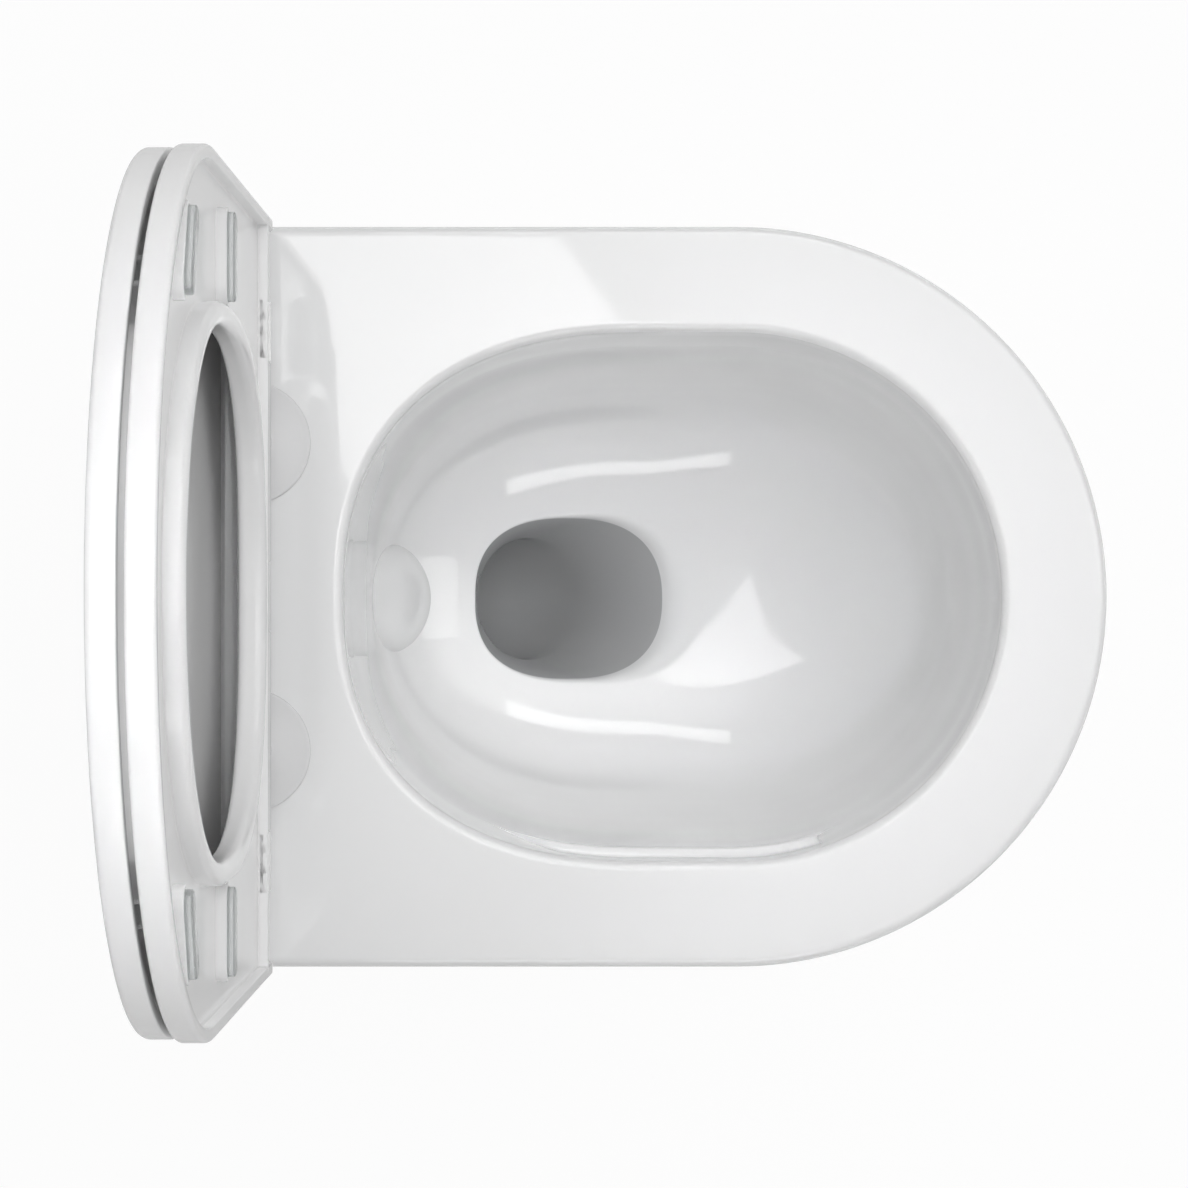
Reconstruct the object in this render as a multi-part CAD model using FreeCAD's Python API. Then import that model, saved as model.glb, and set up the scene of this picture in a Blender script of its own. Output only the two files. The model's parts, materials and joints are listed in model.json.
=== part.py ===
"""Wall hung toilet: hollow ceramic pan, wall fixings, and a raised soft-close seat and lid.

Millimetres. The wall is the plane y = 0, the pan reaches out along -Y, +X is the user's right
when facing the toilet and +Z is up. The origin lies on the wall midway between the two studs.
The seat and the lid are drawn closed, then turned up to their rest pose.
"""
import FreeCAD, Part
import math
import os

from FreeCAD import Vector

# ---- wall and plumbing -------------------------------------------------------------------
STUD_SPACING = 180.0        # two wall studs on one level line
STUD_HOLE_R = 6.5           # clearance hole for an M12 stud
INLET_Z = 35.0              # flush pipe centre above the studs
INLET_BORE_R = 27.5
INLET_LENGTH = 40.0
INLET_WALL = 10.0
OUTLET_DROP = 100.0         # waste centre below the studs
OUTLET_R = 51.0             # outside of the waste spigot
OUTLET_RECESS = 4.0         # spigot end behind the wall plane
SPIGOT_LENGTH = 30.0

# ---- ceramic pan -------------------------------------------------------------------------
RIM_Z = 80.0
PAN_WIDTH = 374.0
PAN_LENGTH = 490.0
PAN_HEIGHT = 345.0
RIM_BAND = 40.0             # upright band below the rim, before the body tapers
CERAMIC = 11.0              # wall thickness
DECK = 14.0                 # thickness of the flat rim and rear deck
RIM_OUTER_ROUND = 5.0
RIM_INNER_ROUND = 4.0
FOOT_ROUND = 12.0
FOOT_LENGTH = 250.0         # length and width of the underside
FOOT_WIDTH = 290.0
BODY_TAPER = ((0.0, 0.0, 0.0), (0.2, 0.06, 0.05), (0.45, 0.27, 0.24), (0.7, 0.57, 0.54),
              (1.0, 1.0, 1.0))      # share of the taper's height, of its narrowing, of its shortening

# ---- bowl --------------------------------------------------------------------------------
RIM_LAND = 49.0             # flat ceramic between the outer edge and the bowl, sides and front
OPENING_REAR = 100.0        # wall to the rear edge of the bowl opening
SIDE_RUN = 44.0             # nearly straight side between the opening's two ends
REAR_POWER = 2.4
BOWL_DEPTH = 195.0
THROAT_REAR = 164.0         # wall to the rear lip of the throat
THROAT_LENGTH = 115.0
THROAT_WIDTH = 92.0
BOWL_CLOSING = ((0.0, 0.0, 0.0, 0.0), (0.15, 0.03, 0.02, 0.035), (0.36, 0.155, 0.105, 0.16),
                (0.56, 0.345, 0.255, 0.37), (0.77, 0.62, 0.45, 0.62), (0.91, 0.86, 0.68, 0.83),
                (1.0, 1.0, 1.0, 1.0))   # share of the depth, and of closing in at rear, front, sides
THROAT_POWERS = (2.2, 2.0)
BOWL_FRONT_POWER = 2.0

# ---- trapway -----------------------------------------------------------------------------
TRAP_R = 35.0
TRAP_WALL = 9.0
TRAP_BEND = 52.0            # centre-line radius of the lower bend
TRAP_BEND_BACK = 150.0      # wall to the centre of the lower bend
TRAP_BEND_DEPTH = 218.0     # rim to the centre of the lower bend
TRAP_LEAN = 35.0            # lean of the falling leg, degrees
CREST_RISE = 20.0           # crest centre line above the waste centre
CREST_BEND = 47.0
SPIGOT_WALL = 11.0

# ---- flush channel and side outlet -------------------------------------------------------
DUCT_HEIGHT = 20.0
DUCT_WIDTH = 16.0
CROSS_TOP = 25.0            # the cross channel passes under the seat fixings
CROSS_HEIGHT = 25.0
CROSS_REAR = 72.0           # wall to the rear face of the cross channel
CROSS_WIDTH = 20.0
DUCT_TOP_WALL = 4.0         # ceramic between the channel and the deck underside
DUCT_WALL = 8.0
DUCT_OUTER_WALL = 15.0      # channel to the outside of the pan
DUCT_PAST = 51.0            # front end of the straight channel, past the arc's centre
CHAMBER_FRONT = 88.0        # wall to the front of the chamber behind the inlet
LEDGE_DEPTH = 40.0          # rim to the flush ledge
LEDGE_UNDERCUT = 6.0        # ledge reach under the rim, beyond the opening
LEDGE_REAR = 165.0          # wall to where the ledge fades out
LEDGE_PAST = 43.0           # the ledge's end wall, past the arc's centre
LEDGE_FADE = ((0.0, 0.83), (0.29, 0.945), (0.57, 0.995))   # share of length, share of reach
NOZZLE_WIDTH = 12.0

# ---- concealed wall fixings --------------------------------------------------------------
FIXING_BLOCK = 40.0         # nylon block on each stud, square
FIXING_LENGTH = 60.0
CLAMP_Y = 44.0              # wall to the clamp screws
CLAMP_R = 4.0
CLAMP_HEAD_R = 7.0
CLAMP_HEAD = 6.0
CLAMP_CLEAR = 2.5           # screw tip to the hole for the stud
RIB_INSET = 59.0            # outside of the pan to the ceramic fixing rib
RIB_DROP = 110.0            # rib height below the deck
CAP_HOLE_R = 10.0
CAP_FLANGE_R = 13.0
CAP_FLANGE = 1.6
CAP_DEPTH = 8.0

# ---- hinge -------------------------------------------------------------------------------
HINGE_SPACING = 155.0       # seat fixing holes
HINGE_BACK = 57.0          # wall to the hinge axis
AXIS_RISE = 16.5            # hinge axis above the rim
BAR_R = 12.5
ROSETTE_R = 31.0
ROSETTE = 2.2
ROSETTE_BOSS_R = 11.5
FIXING_HOLE_R = 8.0
STUD_R = 5.0
STUD_REACH = 14.0           # stud inside the hinge bar
STUD_FLANGE_R = 8.5
STUD_FLANGE = 1.8
THREAD_R = 3.0
SLEEVE_BULGE_R = 11.0
SLEEVE_BELOW = 22.0         # expansion sleeve below the deck
NUT_HEIGHT = 9.0
DAMPER_R = 8.0
DAMPER_LENGTH = 57.0
PIN_R = 4.0
PIN_BITE = 27.0             # pin length inside the damper
BUTTON_HALF = 17.0
BUTTON_HEIGHT = 15.0
BUTTON_REACH = 8.5          # button depth from the front of the bar
BUTTON_TRAVEL = 2.5
SEAT_KNUCKLE = 30.0
LID_KNUCKLE = 35.0
LID_KNUCKLE_R = 10.5
BUSH_R = 6.5
PLATE_START = 13.3          # hinge axis to the rear edge of seat and lid
TAB_WIDTH = 7.0             # rear corner of the seat beside the lid's knuckle

# ---- seat --------------------------------------------------------------------------------
SEAT_OVERHANG = 2.0         # seat beyond the pan, each side
SEAT_UNDER = 3.5            # underside of the closed seat above the rim
SEAT_THICK = 12.0
SEAT_EDGE_ROUND = 1.8
SEAT_LIP = 6.0              # width of the outer lip
SEAT_RECESS = 5.0           # depth of the hollow underside
SEAT_OPENING_REAR = 71.5    # hinge axis to the opening
SEAT_FRONT_LAND = 64.0      # seat between its front edge and the opening
SEAT_OPENING_WIDTH = 230.0
SEAT_POWERS = (2.75, 2.15)  # squareness of the opening's rear and front
INNER_LIP = 10.0            # width of the rolled lip round the opening
INNER_LIP_DROP = 4.0        # how far it hangs below the outer lip
DISH_WIDTH = 26.0           # sloping top surface round the opening
DISH_DROP = 3.5
BUFFER_LENGTH = 40.0
BUFFER_WIDTH = 12.0
BUFFER_GAP = 0.3            # closed seat: buffer above the ceramic, lid pad above the seat
POCKET_WALL = 2.0
REAR_BUFFER_INSET = 40.5    # edge of the seat to the middle of the buffer
REAR_BUFFER_REACH = 193.0   # hinge axis to the buffer
FRONT_BUFFER_INSET = 53.5
FRONT_BUFFER_LAND = 96.0    # front edge of the seat to the buffer
FRONT_BUFFER_TURN = 25.0    # degrees

# ---- lid ---------------------------------------------------------------------------------
LID_GAP = 3.0               # between the seat and the lid
LID_THICK = 12.0
LID_INSET = 1.5             # lid narrower than the seat, each side
LID_WALL = 6.0
LID_SKIN = 4.0
LID_EDGE_ROUND = 3.0
LID_RIB_LENGTH = 80.0
LID_RIB = 1.5
LID_PAD_LENGTH = 24.0
LID_PAD_WIDTH = 10.0
REAR_PAD_INSET = 37.5       # edge of the lid to the middle of the pad
REAR_PAD_REACH = 120.0      # hinge axis to the pad
FRONT_PAD_INSET = 59.5
FRONT_PAD_LAND = 103.5      # front edge of the lid to the pad

# ---- fits --------------------------------------------------------------------------------
SIDE_GAP = 0.3              # between knuckles, bar and tabs
RUNNING = 0.06              # radial, pin in bush
SOCKET = 0.1                # radial, stud in the hinge bar

# ---- worked out from the values above ------------------------------------------------------
PAN_HALF = PAN_WIDTH / 2
PAN_FOOT_Z = RIM_Z - PAN_HEIGHT
ARC_Y = PAN_HALF - PAN_LENGTH               # centre of the pan's round front
OPENING_HALF = PAN_HALF - RIM_LAND
DECK_UNDER = RIM_Z - DECK
OUTLET_Z = -OUTLET_DROP
AXIS_Y = -HINGE_BACK
AXIS_Z = RIM_Z + AXIS_RISE
RIB_X = PAN_HALF - RIB_INSET
DUCT_FRONT = DUCT_PAST - ARC_Y
LEDGE_FRONT = LEDGE_PAST - ARC_Y
SEAT_HALF = PAN_HALF + SEAT_OVERHANG
LID_HALF = SEAT_HALF - LID_INSET
SEAT_REACH = PAN_LENGTH + SEAT_OVERHANG - HINGE_BACK        # hinge axis to the front edge
LID_REACH = SEAT_REACH - LID_INSET
SEAT_OPENING_FRONT = SEAT_REACH - SEAT_FRONT_LAND
SEAT_OPENING_MID = (SEAT_OPENING_REAR + SEAT_OPENING_FRONT) / 2
SEAT_TOP = SEAT_UNDER + SEAT_THICK
LID_UNDER = SEAT_TOP + LID_GAP
LID_TOP = LID_UNDER + LID_THICK
LID_KNUCKLE_END = SEAT_HALF - TAB_WIDTH
SEAT_KNUCKLE_END = LID_KNUCKLE_END - LID_KNUCKLE
BAR_HALF = SEAT_KNUCKLE_END - SEAT_KNUCKLE
SIDES = (("right", 1), ("left", -1))
OVERCUT = 1.0               # how far cutting tools run past a face
CAST_FACETS = 24            # sides of the hidden cast outlines
BEND_STEPS = 4              # straight runs in each trapway bend


# ---- small helpers -----------------------------------------------------------------------
def box(x_range, y_range, z_range):
    """A block between two values on each axis, in any order."""
    low = [min(pair) for pair in (x_range, y_range, z_range)]
    size = [abs(pair[1] - pair[0]) for pair in (x_range, y_range, z_range)]
    return Part.makeBox(*size, Vector(*low))


def rod(start, direction, radius, length):
    return Part.makeCylinder(radius, length, Vector(*start), Vector(*direction))


def fused(shapes):
    return shapes[0].multiFuse(shapes[1:]).removeSplitter()


def arc_polyline(points_and_arcs):
    """A wire from lines (two points) and arcs (three points)."""
    edges = []
    for points in points_and_arcs:
        vectors = [Vector(*point) for point in points]
        edges.append(Part.LineSegment(*vectors).toShape() if len(vectors) == 2
                     else Part.Arc(*vectors).toShape())
    return Part.Wire(edges)


def d_outline(half_width, length, rear_y, z):
    """Flat back, straight sides and a half-round front; length is measured from the wall."""
    arc_y = half_width - length
    left, right = -half_width, half_width
    return arc_polyline([
        ((left, rear_y, z), (right, rear_y, z)),
        ((right, rear_y, z), (right, arc_y, z)),
        ((right, arc_y, z), (0, -length, z), (left, arc_y, z)),
        ((left, arc_y, z), (left, rear_y, z))])


def oval(half_width, rear_y, front_y, rear_mid, front_mid, powers, z):
    """Closed smooth outline with a superellipse end towards the wall and one to the front."""
    steps = 9
    points = []
    for mid_y, end_y, power in ((front_mid, front_y, powers[1]), (rear_mid, rear_y, powers[0])):
        turn = 1 if end_y < mid_y else -1
        for step in range(steps + 1):
            angle = math.pi * step / steps
            across, along = turn * math.cos(angle), math.sin(angle)
            reach = (abs(across / half_width) ** power
                     + abs(along / (end_y - mid_y)) ** power) ** (-1 / power)
            points.append(Vector(reach * across, mid_y - turn * reach * along, z))
    curve = Part.BSplineCurve()
    curve.interpolate(Points=points, PeriodicFlag=True)
    return Part.Wire(curve.toShape())


def faceted(wire):
    """A polygon that keeps an outline's corners, for cast walls that stay out of sight."""
    points = []
    for edge in wire.OrderedEdges:
        if edge.Curve.TypeId == "Part::GeomLine":
            points.append(edge.valueAt(edge.FirstParameter))
        else:
            sides = CAST_FACETS if edge.isClosed() else CAST_FACETS // 2
            points += edge.discretize(Number=sides + 1)[:-1]
    return Part.makePolygon(points + points[:1])


def extruded(wire, height):
    return Part.Face(wire).extrude(Vector(0, 0, height))


def level_edges(shape, z, keep=lambda middle: True):
    """Edges that lie flat at one height."""
    found = []
    for edge in shape.Edges:
        bounds = edge.BoundBox
        if max(abs(bounds.ZMin - z), abs(bounds.ZMax - z)) < 0.01 and keep(bounds.Center):
            found.append(edge)
    return found


def raised(shape):
    """Turn a closed seat or lid piece up about the hinge axis."""
    shape.rotate(Vector(0, AXIS_Y, AXIS_Z), Vector(1, 0, 0), -90)
    return shape


def export(name, shape):
    shape.exportStep(f"parts/{name}.step")


# ---- pan: outer body, bowl, trap -------------------------------------------------------------
def body_levels():
    """Height, half width and length of the tapering body, from the rim band to the foot."""
    taper = PAN_HEIGHT - RIM_BAND - FOOT_ROUND
    levels = []
    for share, narrowing, shortening in BODY_TAPER:
        levels.append((RIM_Z - RIM_BAND - share * taper,
                       PAN_HALF - narrowing * (PAN_HALF - FOOT_WIDTH / 2),
                       PAN_LENGTH - shortening * (PAN_LENGTH - FOOT_LENGTH)))
    return levels


def body_solid():
    """Upright rim band with a rounded edge on a body that tapers to the foot."""
    band = extruded(d_outline(PAN_HALF, PAN_LENGTH, 0, RIM_Z - RIM_BAND), RIM_BAND)
    rim_edges = level_edges(band, RIM_Z, lambda middle: middle.y < -OVERCUT)
    band = band.makeFillet(RIM_OUTER_ROUND, rim_edges)
    wires = [d_outline(half, length, 0, z) for z, half, length in body_levels()]
    taper = Part.makeLoft(wires, True, False)
    z, half, length = body_levels()[-1]
    toe = Part.makeLoft([d_outline(half - inset, length - inset, 0, z - FOOT_ROUND * depth)
                         for inset, depth in ((0, 0), (FOOT_ROUND * 0.3, 0.7), (FOOT_ROUND, 1))],
                        True, True)
    return fused([band, taper, toe]).Solids[0]


def body_hollow():
    """The space between skirt and bowl, open to the wall."""
    ceiling, foot = body_levels()[0], body_levels()[-1]
    floor_z = foot[0] - FOOT_ROUND + CERAMIC
    levels = [(DECK_UNDER, *ceiling[1:])] + body_levels() + [(floor_z, *foot[1:])]
    wires = [faceted(d_outline(half - CERAMIC, length - CERAMIC, OVERCUT, z))
             for z, half, length in levels]
    return Part.makeLoft(wires, True, True)


def bowl_outlines(growth):
    """Level outlines of the bowl from the rim to the throat, grown by a wall."""
    throat_front = THROAT_REAR + THROAT_LENGTH
    throat_mid = THROAT_REAR + THROAT_LENGTH / 2
    opening_front = PAN_LENGTH - RIM_LAND
    rear_mid = -ARC_Y - SIDE_RUN
    for share, rear, front, side in BOWL_CLOSING:
        yield oval(
            OPENING_HALF - side * (OPENING_HALF - THROAT_WIDTH / 2) + growth,
            -OPENING_REAR - rear * (THROAT_REAR - OPENING_REAR) + growth,
            -opening_front + front * (opening_front - throat_front) - growth,
            -rear_mid + share * (rear_mid - throat_mid + OVERCUT),
            ARC_Y - share * (ARC_Y + throat_mid + OVERCUT),
            (REAR_POWER, BOWL_FRONT_POWER), RIM_Z - share * (BOWL_DEPTH + growth))


def bowl_hollow():
    """The bowl's inside with the rounded edge of its opening."""
    edge = []
    for turn in (0, 45, 90):
        angle = math.radians(turn)
        outline = next(bowl_outlines(RIM_INNER_ROUND * (1 - math.sin(angle))))
        outline.translate(Vector(0, 0, RIM_INNER_ROUND * (math.cos(angle) - 1)))
        edge.append(outline)
    rounding = Part.makeLoft(edge, True, True)
    return [Part.makeLoft(list(bowl_outlines(0)), True, True), rounding]


def bowl_shell():
    """The bowl's outside, from inside the deck to the throat."""
    outlines = list(bowl_outlines(CERAMIC))
    shell = Part.makeLoft([faceted(outline) for outline in outlines[::2]], True, True)
    return shell.cut(box((-PAN_HALF, PAN_HALF), (-PAN_LENGTH, 0), (RIM_Z - DECK / 2, RIM_Z + DECK)))


def bend(centre_y, centre_z, radius, start_turn, end_turn):
    """Points round one bend of the trapway, in the plane x = 0."""
    for step in range(BEND_STEPS + 1):
        angle = math.radians(start_turn + (end_turn - start_turn) * step / BEND_STEPS)
        yield Vector(0, centre_y + radius * math.cos(angle), centre_z + radius * math.sin(angle))


def trap_path():
    """Centre line from the throat round the water seal to the crest."""
    crest_y = TRAP_BEND - TRAP_BEND_BACK + CREST_BEND
    crest_z = OUTLET_Z + CREST_RISE
    points = list(bend(-TRAP_BEND_BACK, RIM_Z - TRAP_BEND_DEPTH, TRAP_BEND, 180 + TRAP_LEAN, 360))
    return points + list(bend(crest_y, crest_z - CREST_BEND, CREST_BEND, 180, 90))


def trap_start():
    """Centre and heading of the round falling leg."""
    points = trap_path()
    return points[0], (points[1] - points[0]).normalize()


def trap_solid(radius):
    """The round trapway swept along its centre line."""
    start, heading = trap_start()
    ring = Part.Wire(Part.makeCircle(radius, start, heading))
    return Part.makePolygon(trap_path()).makePipeShell([ring], True, False, 1)


def outfall(start_r, end_r, end_y):
    """From the crest down into the spigot, then level out to the wall."""
    back = Vector(0, 1, 0)
    crest = trap_path()[-1]
    inner_end = Vector(0, -OUTLET_RECESS - SPIGOT_LENGTH, OUTLET_Z)
    rings = [Part.Wire(Part.makeCircle(start_r + OVERCUT, crest - back * OVERCUT, back)),
             Part.Wire(Part.makeCircle(end_r, inner_end, back))]
    fall = Part.makeLoft(rings, True, True)
    return fall.fuse(rod(inner_end, back, end_r, end_y - inner_end.y))


def sump_solid(growth):
    """The funnel from the throat's oval down to the round falling leg."""
    start, heading = trap_start()
    mid_y = -THROAT_REAR - THROAT_LENGTH / 2
    mouth = oval(THROAT_WIDTH / 2 + growth, -THROAT_REAR + growth,
                 -THROAT_REAR - THROAT_LENGTH - growth, mid_y + OVERCUT, mid_y - OVERCUT,
                 THROAT_POWERS, RIM_Z - BOWL_DEPTH + OVERCUT)
    radius = TRAP_R + growth + OVERCUT / 2
    circle = []
    for step in range(CAST_FACETS):
        angle = 2 * math.pi * step / CAST_FACETS
        across = Vector(1, 0, 0) * math.cos(angle)
        along = Vector(1, 0, 0).cross(heading)
        circle.append(start + (across - along * math.sin(angle)) * radius)
    curve = Part.BSplineCurve()
    curve.interpolate(Points=circle, PeriodicFlag=True)
    outlines = [mouth, Part.Wire(curve.toShape())]
    return Part.makeLoft([faceted(outline) for outline in outlines] if growth else outlines, True, True)


# ---- pan: flush channel ----------------------------------------------------------------------
def duct_hollows():
    """The flush channel from the inlet bore to the ledge's end wall."""
    duct_top = DECK_UNDER - DUCT_TOP_WALL
    heights = (duct_top - DUCT_HEIGHT, duct_top)
    outer_x = -(PAN_HALF - DUCT_OUTER_WALL)
    inner_x = outer_x + DUCT_WIDTH
    cross_y = (-CROSS_REAR - CROSS_WIDTH, -CROSS_REAR)
    chamber = box((-INLET_BORE_R, INLET_BORE_R), (-CHAMBER_FRONT, -INLET_LENGTH - DUCT_WALL),
                  (INLET_Z - INLET_BORE_R, duct_top))
    cross = box((outer_x, 0), cross_y, (CROSS_TOP - CROSS_HEIGHT, CROSS_TOP))
    riser = box((outer_x, inner_x), cross_y, (CROSS_TOP - CROSS_HEIGHT, duct_top))
    along = box((outer_x, inner_x), (-DUCT_FRONT, -CROSS_REAR - OVERCUT), heights)
    nozzle_x = -(OPENING_HALF - RIM_INNER_ROUND + LEDGE_UNDERCUT)
    turn_y = (-DUCT_FRONT - DUCT_HEIGHT, -DUCT_FRONT + OVERCUT)
    turn = box((outer_x + DUCT_WALL, nozzle_x + NOZZLE_WIDTH), turn_y, heights)
    nozzle = box((nozzle_x, nozzle_x + NOZZLE_WIDTH), (-DUCT_FRONT, -LEDGE_FRONT + OVERCUT), heights)
    bore = rod((0, OVERCUT, INLET_Z), (0, -1, 0), INLET_BORE_R, INLET_LENGTH + OVERCUT)
    mouth = rod((0, 0, INLET_Z), (0, -1, 0), INLET_BORE_R - 5, INLET_LENGTH + DUCT_WALL + OVERCUT)
    return [bore, mouth, chamber, cross, riser, along, turn, nozzle]


def duct_walls():
    """Ceramic round the flush channel, trimmed later to the outside of the pan."""
    duct_top = DECK_UNDER - DUCT_TOP_WALL
    floor_z = duct_top - DUCT_HEIGHT - DUCT_WALL
    inner_x = -(PAN_HALF - DUCT_OUTER_WALL) + DUCT_WIDTH + DUCT_WALL
    cross_y = (-CROSS_REAR - CROSS_WIDTH - DUCT_WALL, -CROSS_REAR + DUCT_WALL)
    cross_z = (CROSS_TOP - CROSS_HEIGHT - DUCT_WALL, CROSS_TOP + DUCT_WALL)
    inlet = rod((0, 0, INLET_Z), (0, -1, 0), INLET_BORE_R + INLET_WALL, INLET_LENGTH + DUCT_WALL)
    chamber_half = INLET_BORE_R + DUCT_WALL
    chamber = box((-chamber_half, chamber_half), (-CHAMBER_FRONT - DUCT_WALL, -INLET_LENGTH),
                  (INLET_Z - chamber_half, DECK_UNDER))
    cross = box((-PAN_HALF, 0), cross_y, cross_z)
    riser = box((-PAN_HALF, inner_x), cross_y, (cross_z[0], DECK_UNDER))
    along = box((-PAN_HALF, inner_x), (-DUCT_FRONT, cross_y[1]), (floor_z, DECK_UNDER))
    turn = box((-PAN_HALF, -OPENING_HALF + DUCT_HEIGHT),
               (-DUCT_FRONT - DUCT_HEIGHT - DUCT_WALL, -LEDGE_FRONT), (floor_z, DECK_UNDER))
    return [inlet, chamber, cross, riser, along, turn]


def ledge_hollow():
    """The recess in the bowl's left wall that the side outlet flushes along."""
    reach = OPENING_HALF - RIM_INNER_ROUND + LEDGE_UNDERCUT
    length = LEDGE_FRONT - LEDGE_REAR
    front_turn = math.asin((LEDGE_FRONT + ARC_Y) / reach)
    points = [Vector(-reach * width, -LEDGE_REAR - along * length, RIM_Z - LEDGE_DEPTH)
              for along, width in LEDGE_FADE]
    points.append(Vector(-reach, ARC_Y, RIM_Z - LEDGE_DEPTH))
    points.append(Vector(-reach * math.cos(front_turn), -LEDGE_FRONT, RIM_Z - LEDGE_DEPTH))
    curve = Part.BSplineCurve()
    curve.interpolate(points)
    inner_front, inner_rear = Vector(points[-1]), Vector(points[0])
    inner_front.x = inner_rear.x = -OPENING_HALF / 2
    wire = Part.Wire([curve.toShape(), Part.LineSegment(points[-1], inner_front).toShape(),
                      Part.LineSegment(inner_front, inner_rear).toShape(),
                      Part.LineSegment(inner_rear, points[0]).toShape()])
    return extruded(wire, LEDGE_DEPTH - DECK)


# ---- pan: fixing ribs and holes ----------------------------------------------------------------
def fixing_rib(sign):
    """Ceramic rib and shelf that the clamp screw pulls against."""
    foot_z = DECK_UNDER - RIB_DROP
    upright = box((sign * RIB_X, sign * (RIB_X + CERAMIC)), (-CLAMP_Y * 2, 0), (foot_z, DECK_UNDER))
    shelf = box((sign * RIB_X, sign * PAN_HALF), (-CLAMP_Y * 2, 0), (foot_z, foot_z + CERAMIC))
    return fused([upright, shelf])


def pan_holes():
    tools = []
    for name, sign in SIDES:
        tools.append(rod((sign * RIB_X - sign * OVERCUT, -CLAMP_Y, 0), (sign, 0, 0),
                         CLAMP_R + 1, CERAMIC + 2 * OVERCUT))
        tools.append(rod((sign * (RIB_X + CERAMIC), -CLAMP_Y, 0), (sign, 0, 0), CAP_HOLE_R, PAN_HALF))
        tools.append(rod((sign * HINGE_SPACING / 2, AXIS_Y, RIM_Z + OVERCUT), (0, 0, -1),
                         FIXING_HOLE_R, DECK + 2 * OVERCUT))
    return tools


def ceramic_pan():
    body = body_solid()
    inside = [bowl_shell(), sump_solid(TRAP_WALL),
              trap_solid(TRAP_R + TRAP_WALL),
              outfall(TRAP_R + TRAP_WALL, OUTLET_R, -OUTLET_RECESS)]
    inside += duct_walls() + [fixing_rib(sign) for name, sign in SIDES]
    pan = body.cut(body_hollow())
    for piece in inside:
        pan = pan.fuse(piece.common(body))
    mouth_r = OUTLET_R - SPIGOT_WALL
    tools = bowl_hollow() + [sump_solid(0), trap_solid(TRAP_R), outfall(TRAP_R, mouth_r, OVERCUT)]
    tools.append(ledge_hollow())
    for tool in tools + duct_hollows() + pan_holes():
        pan = pan.cut(tool)
    return pan.Solids[0]


# ---- wall fixings ----------------------------------------------------------------------------
def wall_fixings():
    for name, sign in SIDES:
        centre = sign * STUD_SPACING / 2
        half = FIXING_BLOCK / 2
        block = box((centre - half, centre + half), (-FIXING_LENGTH, 0), (-half, half))
        block = block.makeFillet(4, [edge for edge in block.Edges if edge.BoundBox.YLength > half])
        bore_length = FIXING_LENGTH + 2 * OVERCUT
        block = block.cut(rod((centre, OVERCUT, 0), (0, -1, 0), STUD_HOLE_R, bore_length))
        screw_start = centre + sign * (STUD_HOLE_R + CLAMP_CLEAR)
        head_x = sign * (RIB_X + CERAMIC)
        shank_length = abs(head_x - screw_start)
        shank = rod((screw_start, -CLAMP_Y, 0), (sign, 0, 0), CLAMP_R, shank_length)
        head = rod((head_x, -CLAMP_Y, 0), (sign, 0, 0), CLAMP_HEAD_R, CLAMP_HEAD)
        socket = rod((head_x + sign * CLAMP_HEAD / 2, -CLAMP_Y, 0), (sign, 0, 0),
                     CLAMP_HEAD_R / 2, CLAMP_HEAD / 2)
        export(f"fixing_block_{name}", block.cut(shank))
        export(f"clamp_screw_{name}", fused([shank, head]).cut(socket))
        plug = rod((sign * PAN_HALF, -CLAMP_Y, 0), (-sign, 0, 0), CAP_HOLE_R - SOCKET, CAP_DEPTH)
        hollow = rod((sign * (PAN_HALF - CAP_FLANGE), -CLAMP_Y, 0), (-sign, 0, 0),
                     CAP_HOLE_R - 2 * CAP_FLANGE, CAP_DEPTH)
        flange = rod((sign * PAN_HALF, -CLAMP_Y, 0), (sign, 0, 0), CAP_FLANGE_R, CAP_FLANGE)
        rim = [edge for edge in flange.Edges
               if abs(edge.BoundBox.Center.x - sign * (PAN_HALF + CAP_FLANGE)) < 0.01]
        flange = flange.makeChamfer(CAP_FLANGE / 2, rim)
        export(f"cover_cap_{name}", fused([plug.cut(hollow), flange]))


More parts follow.
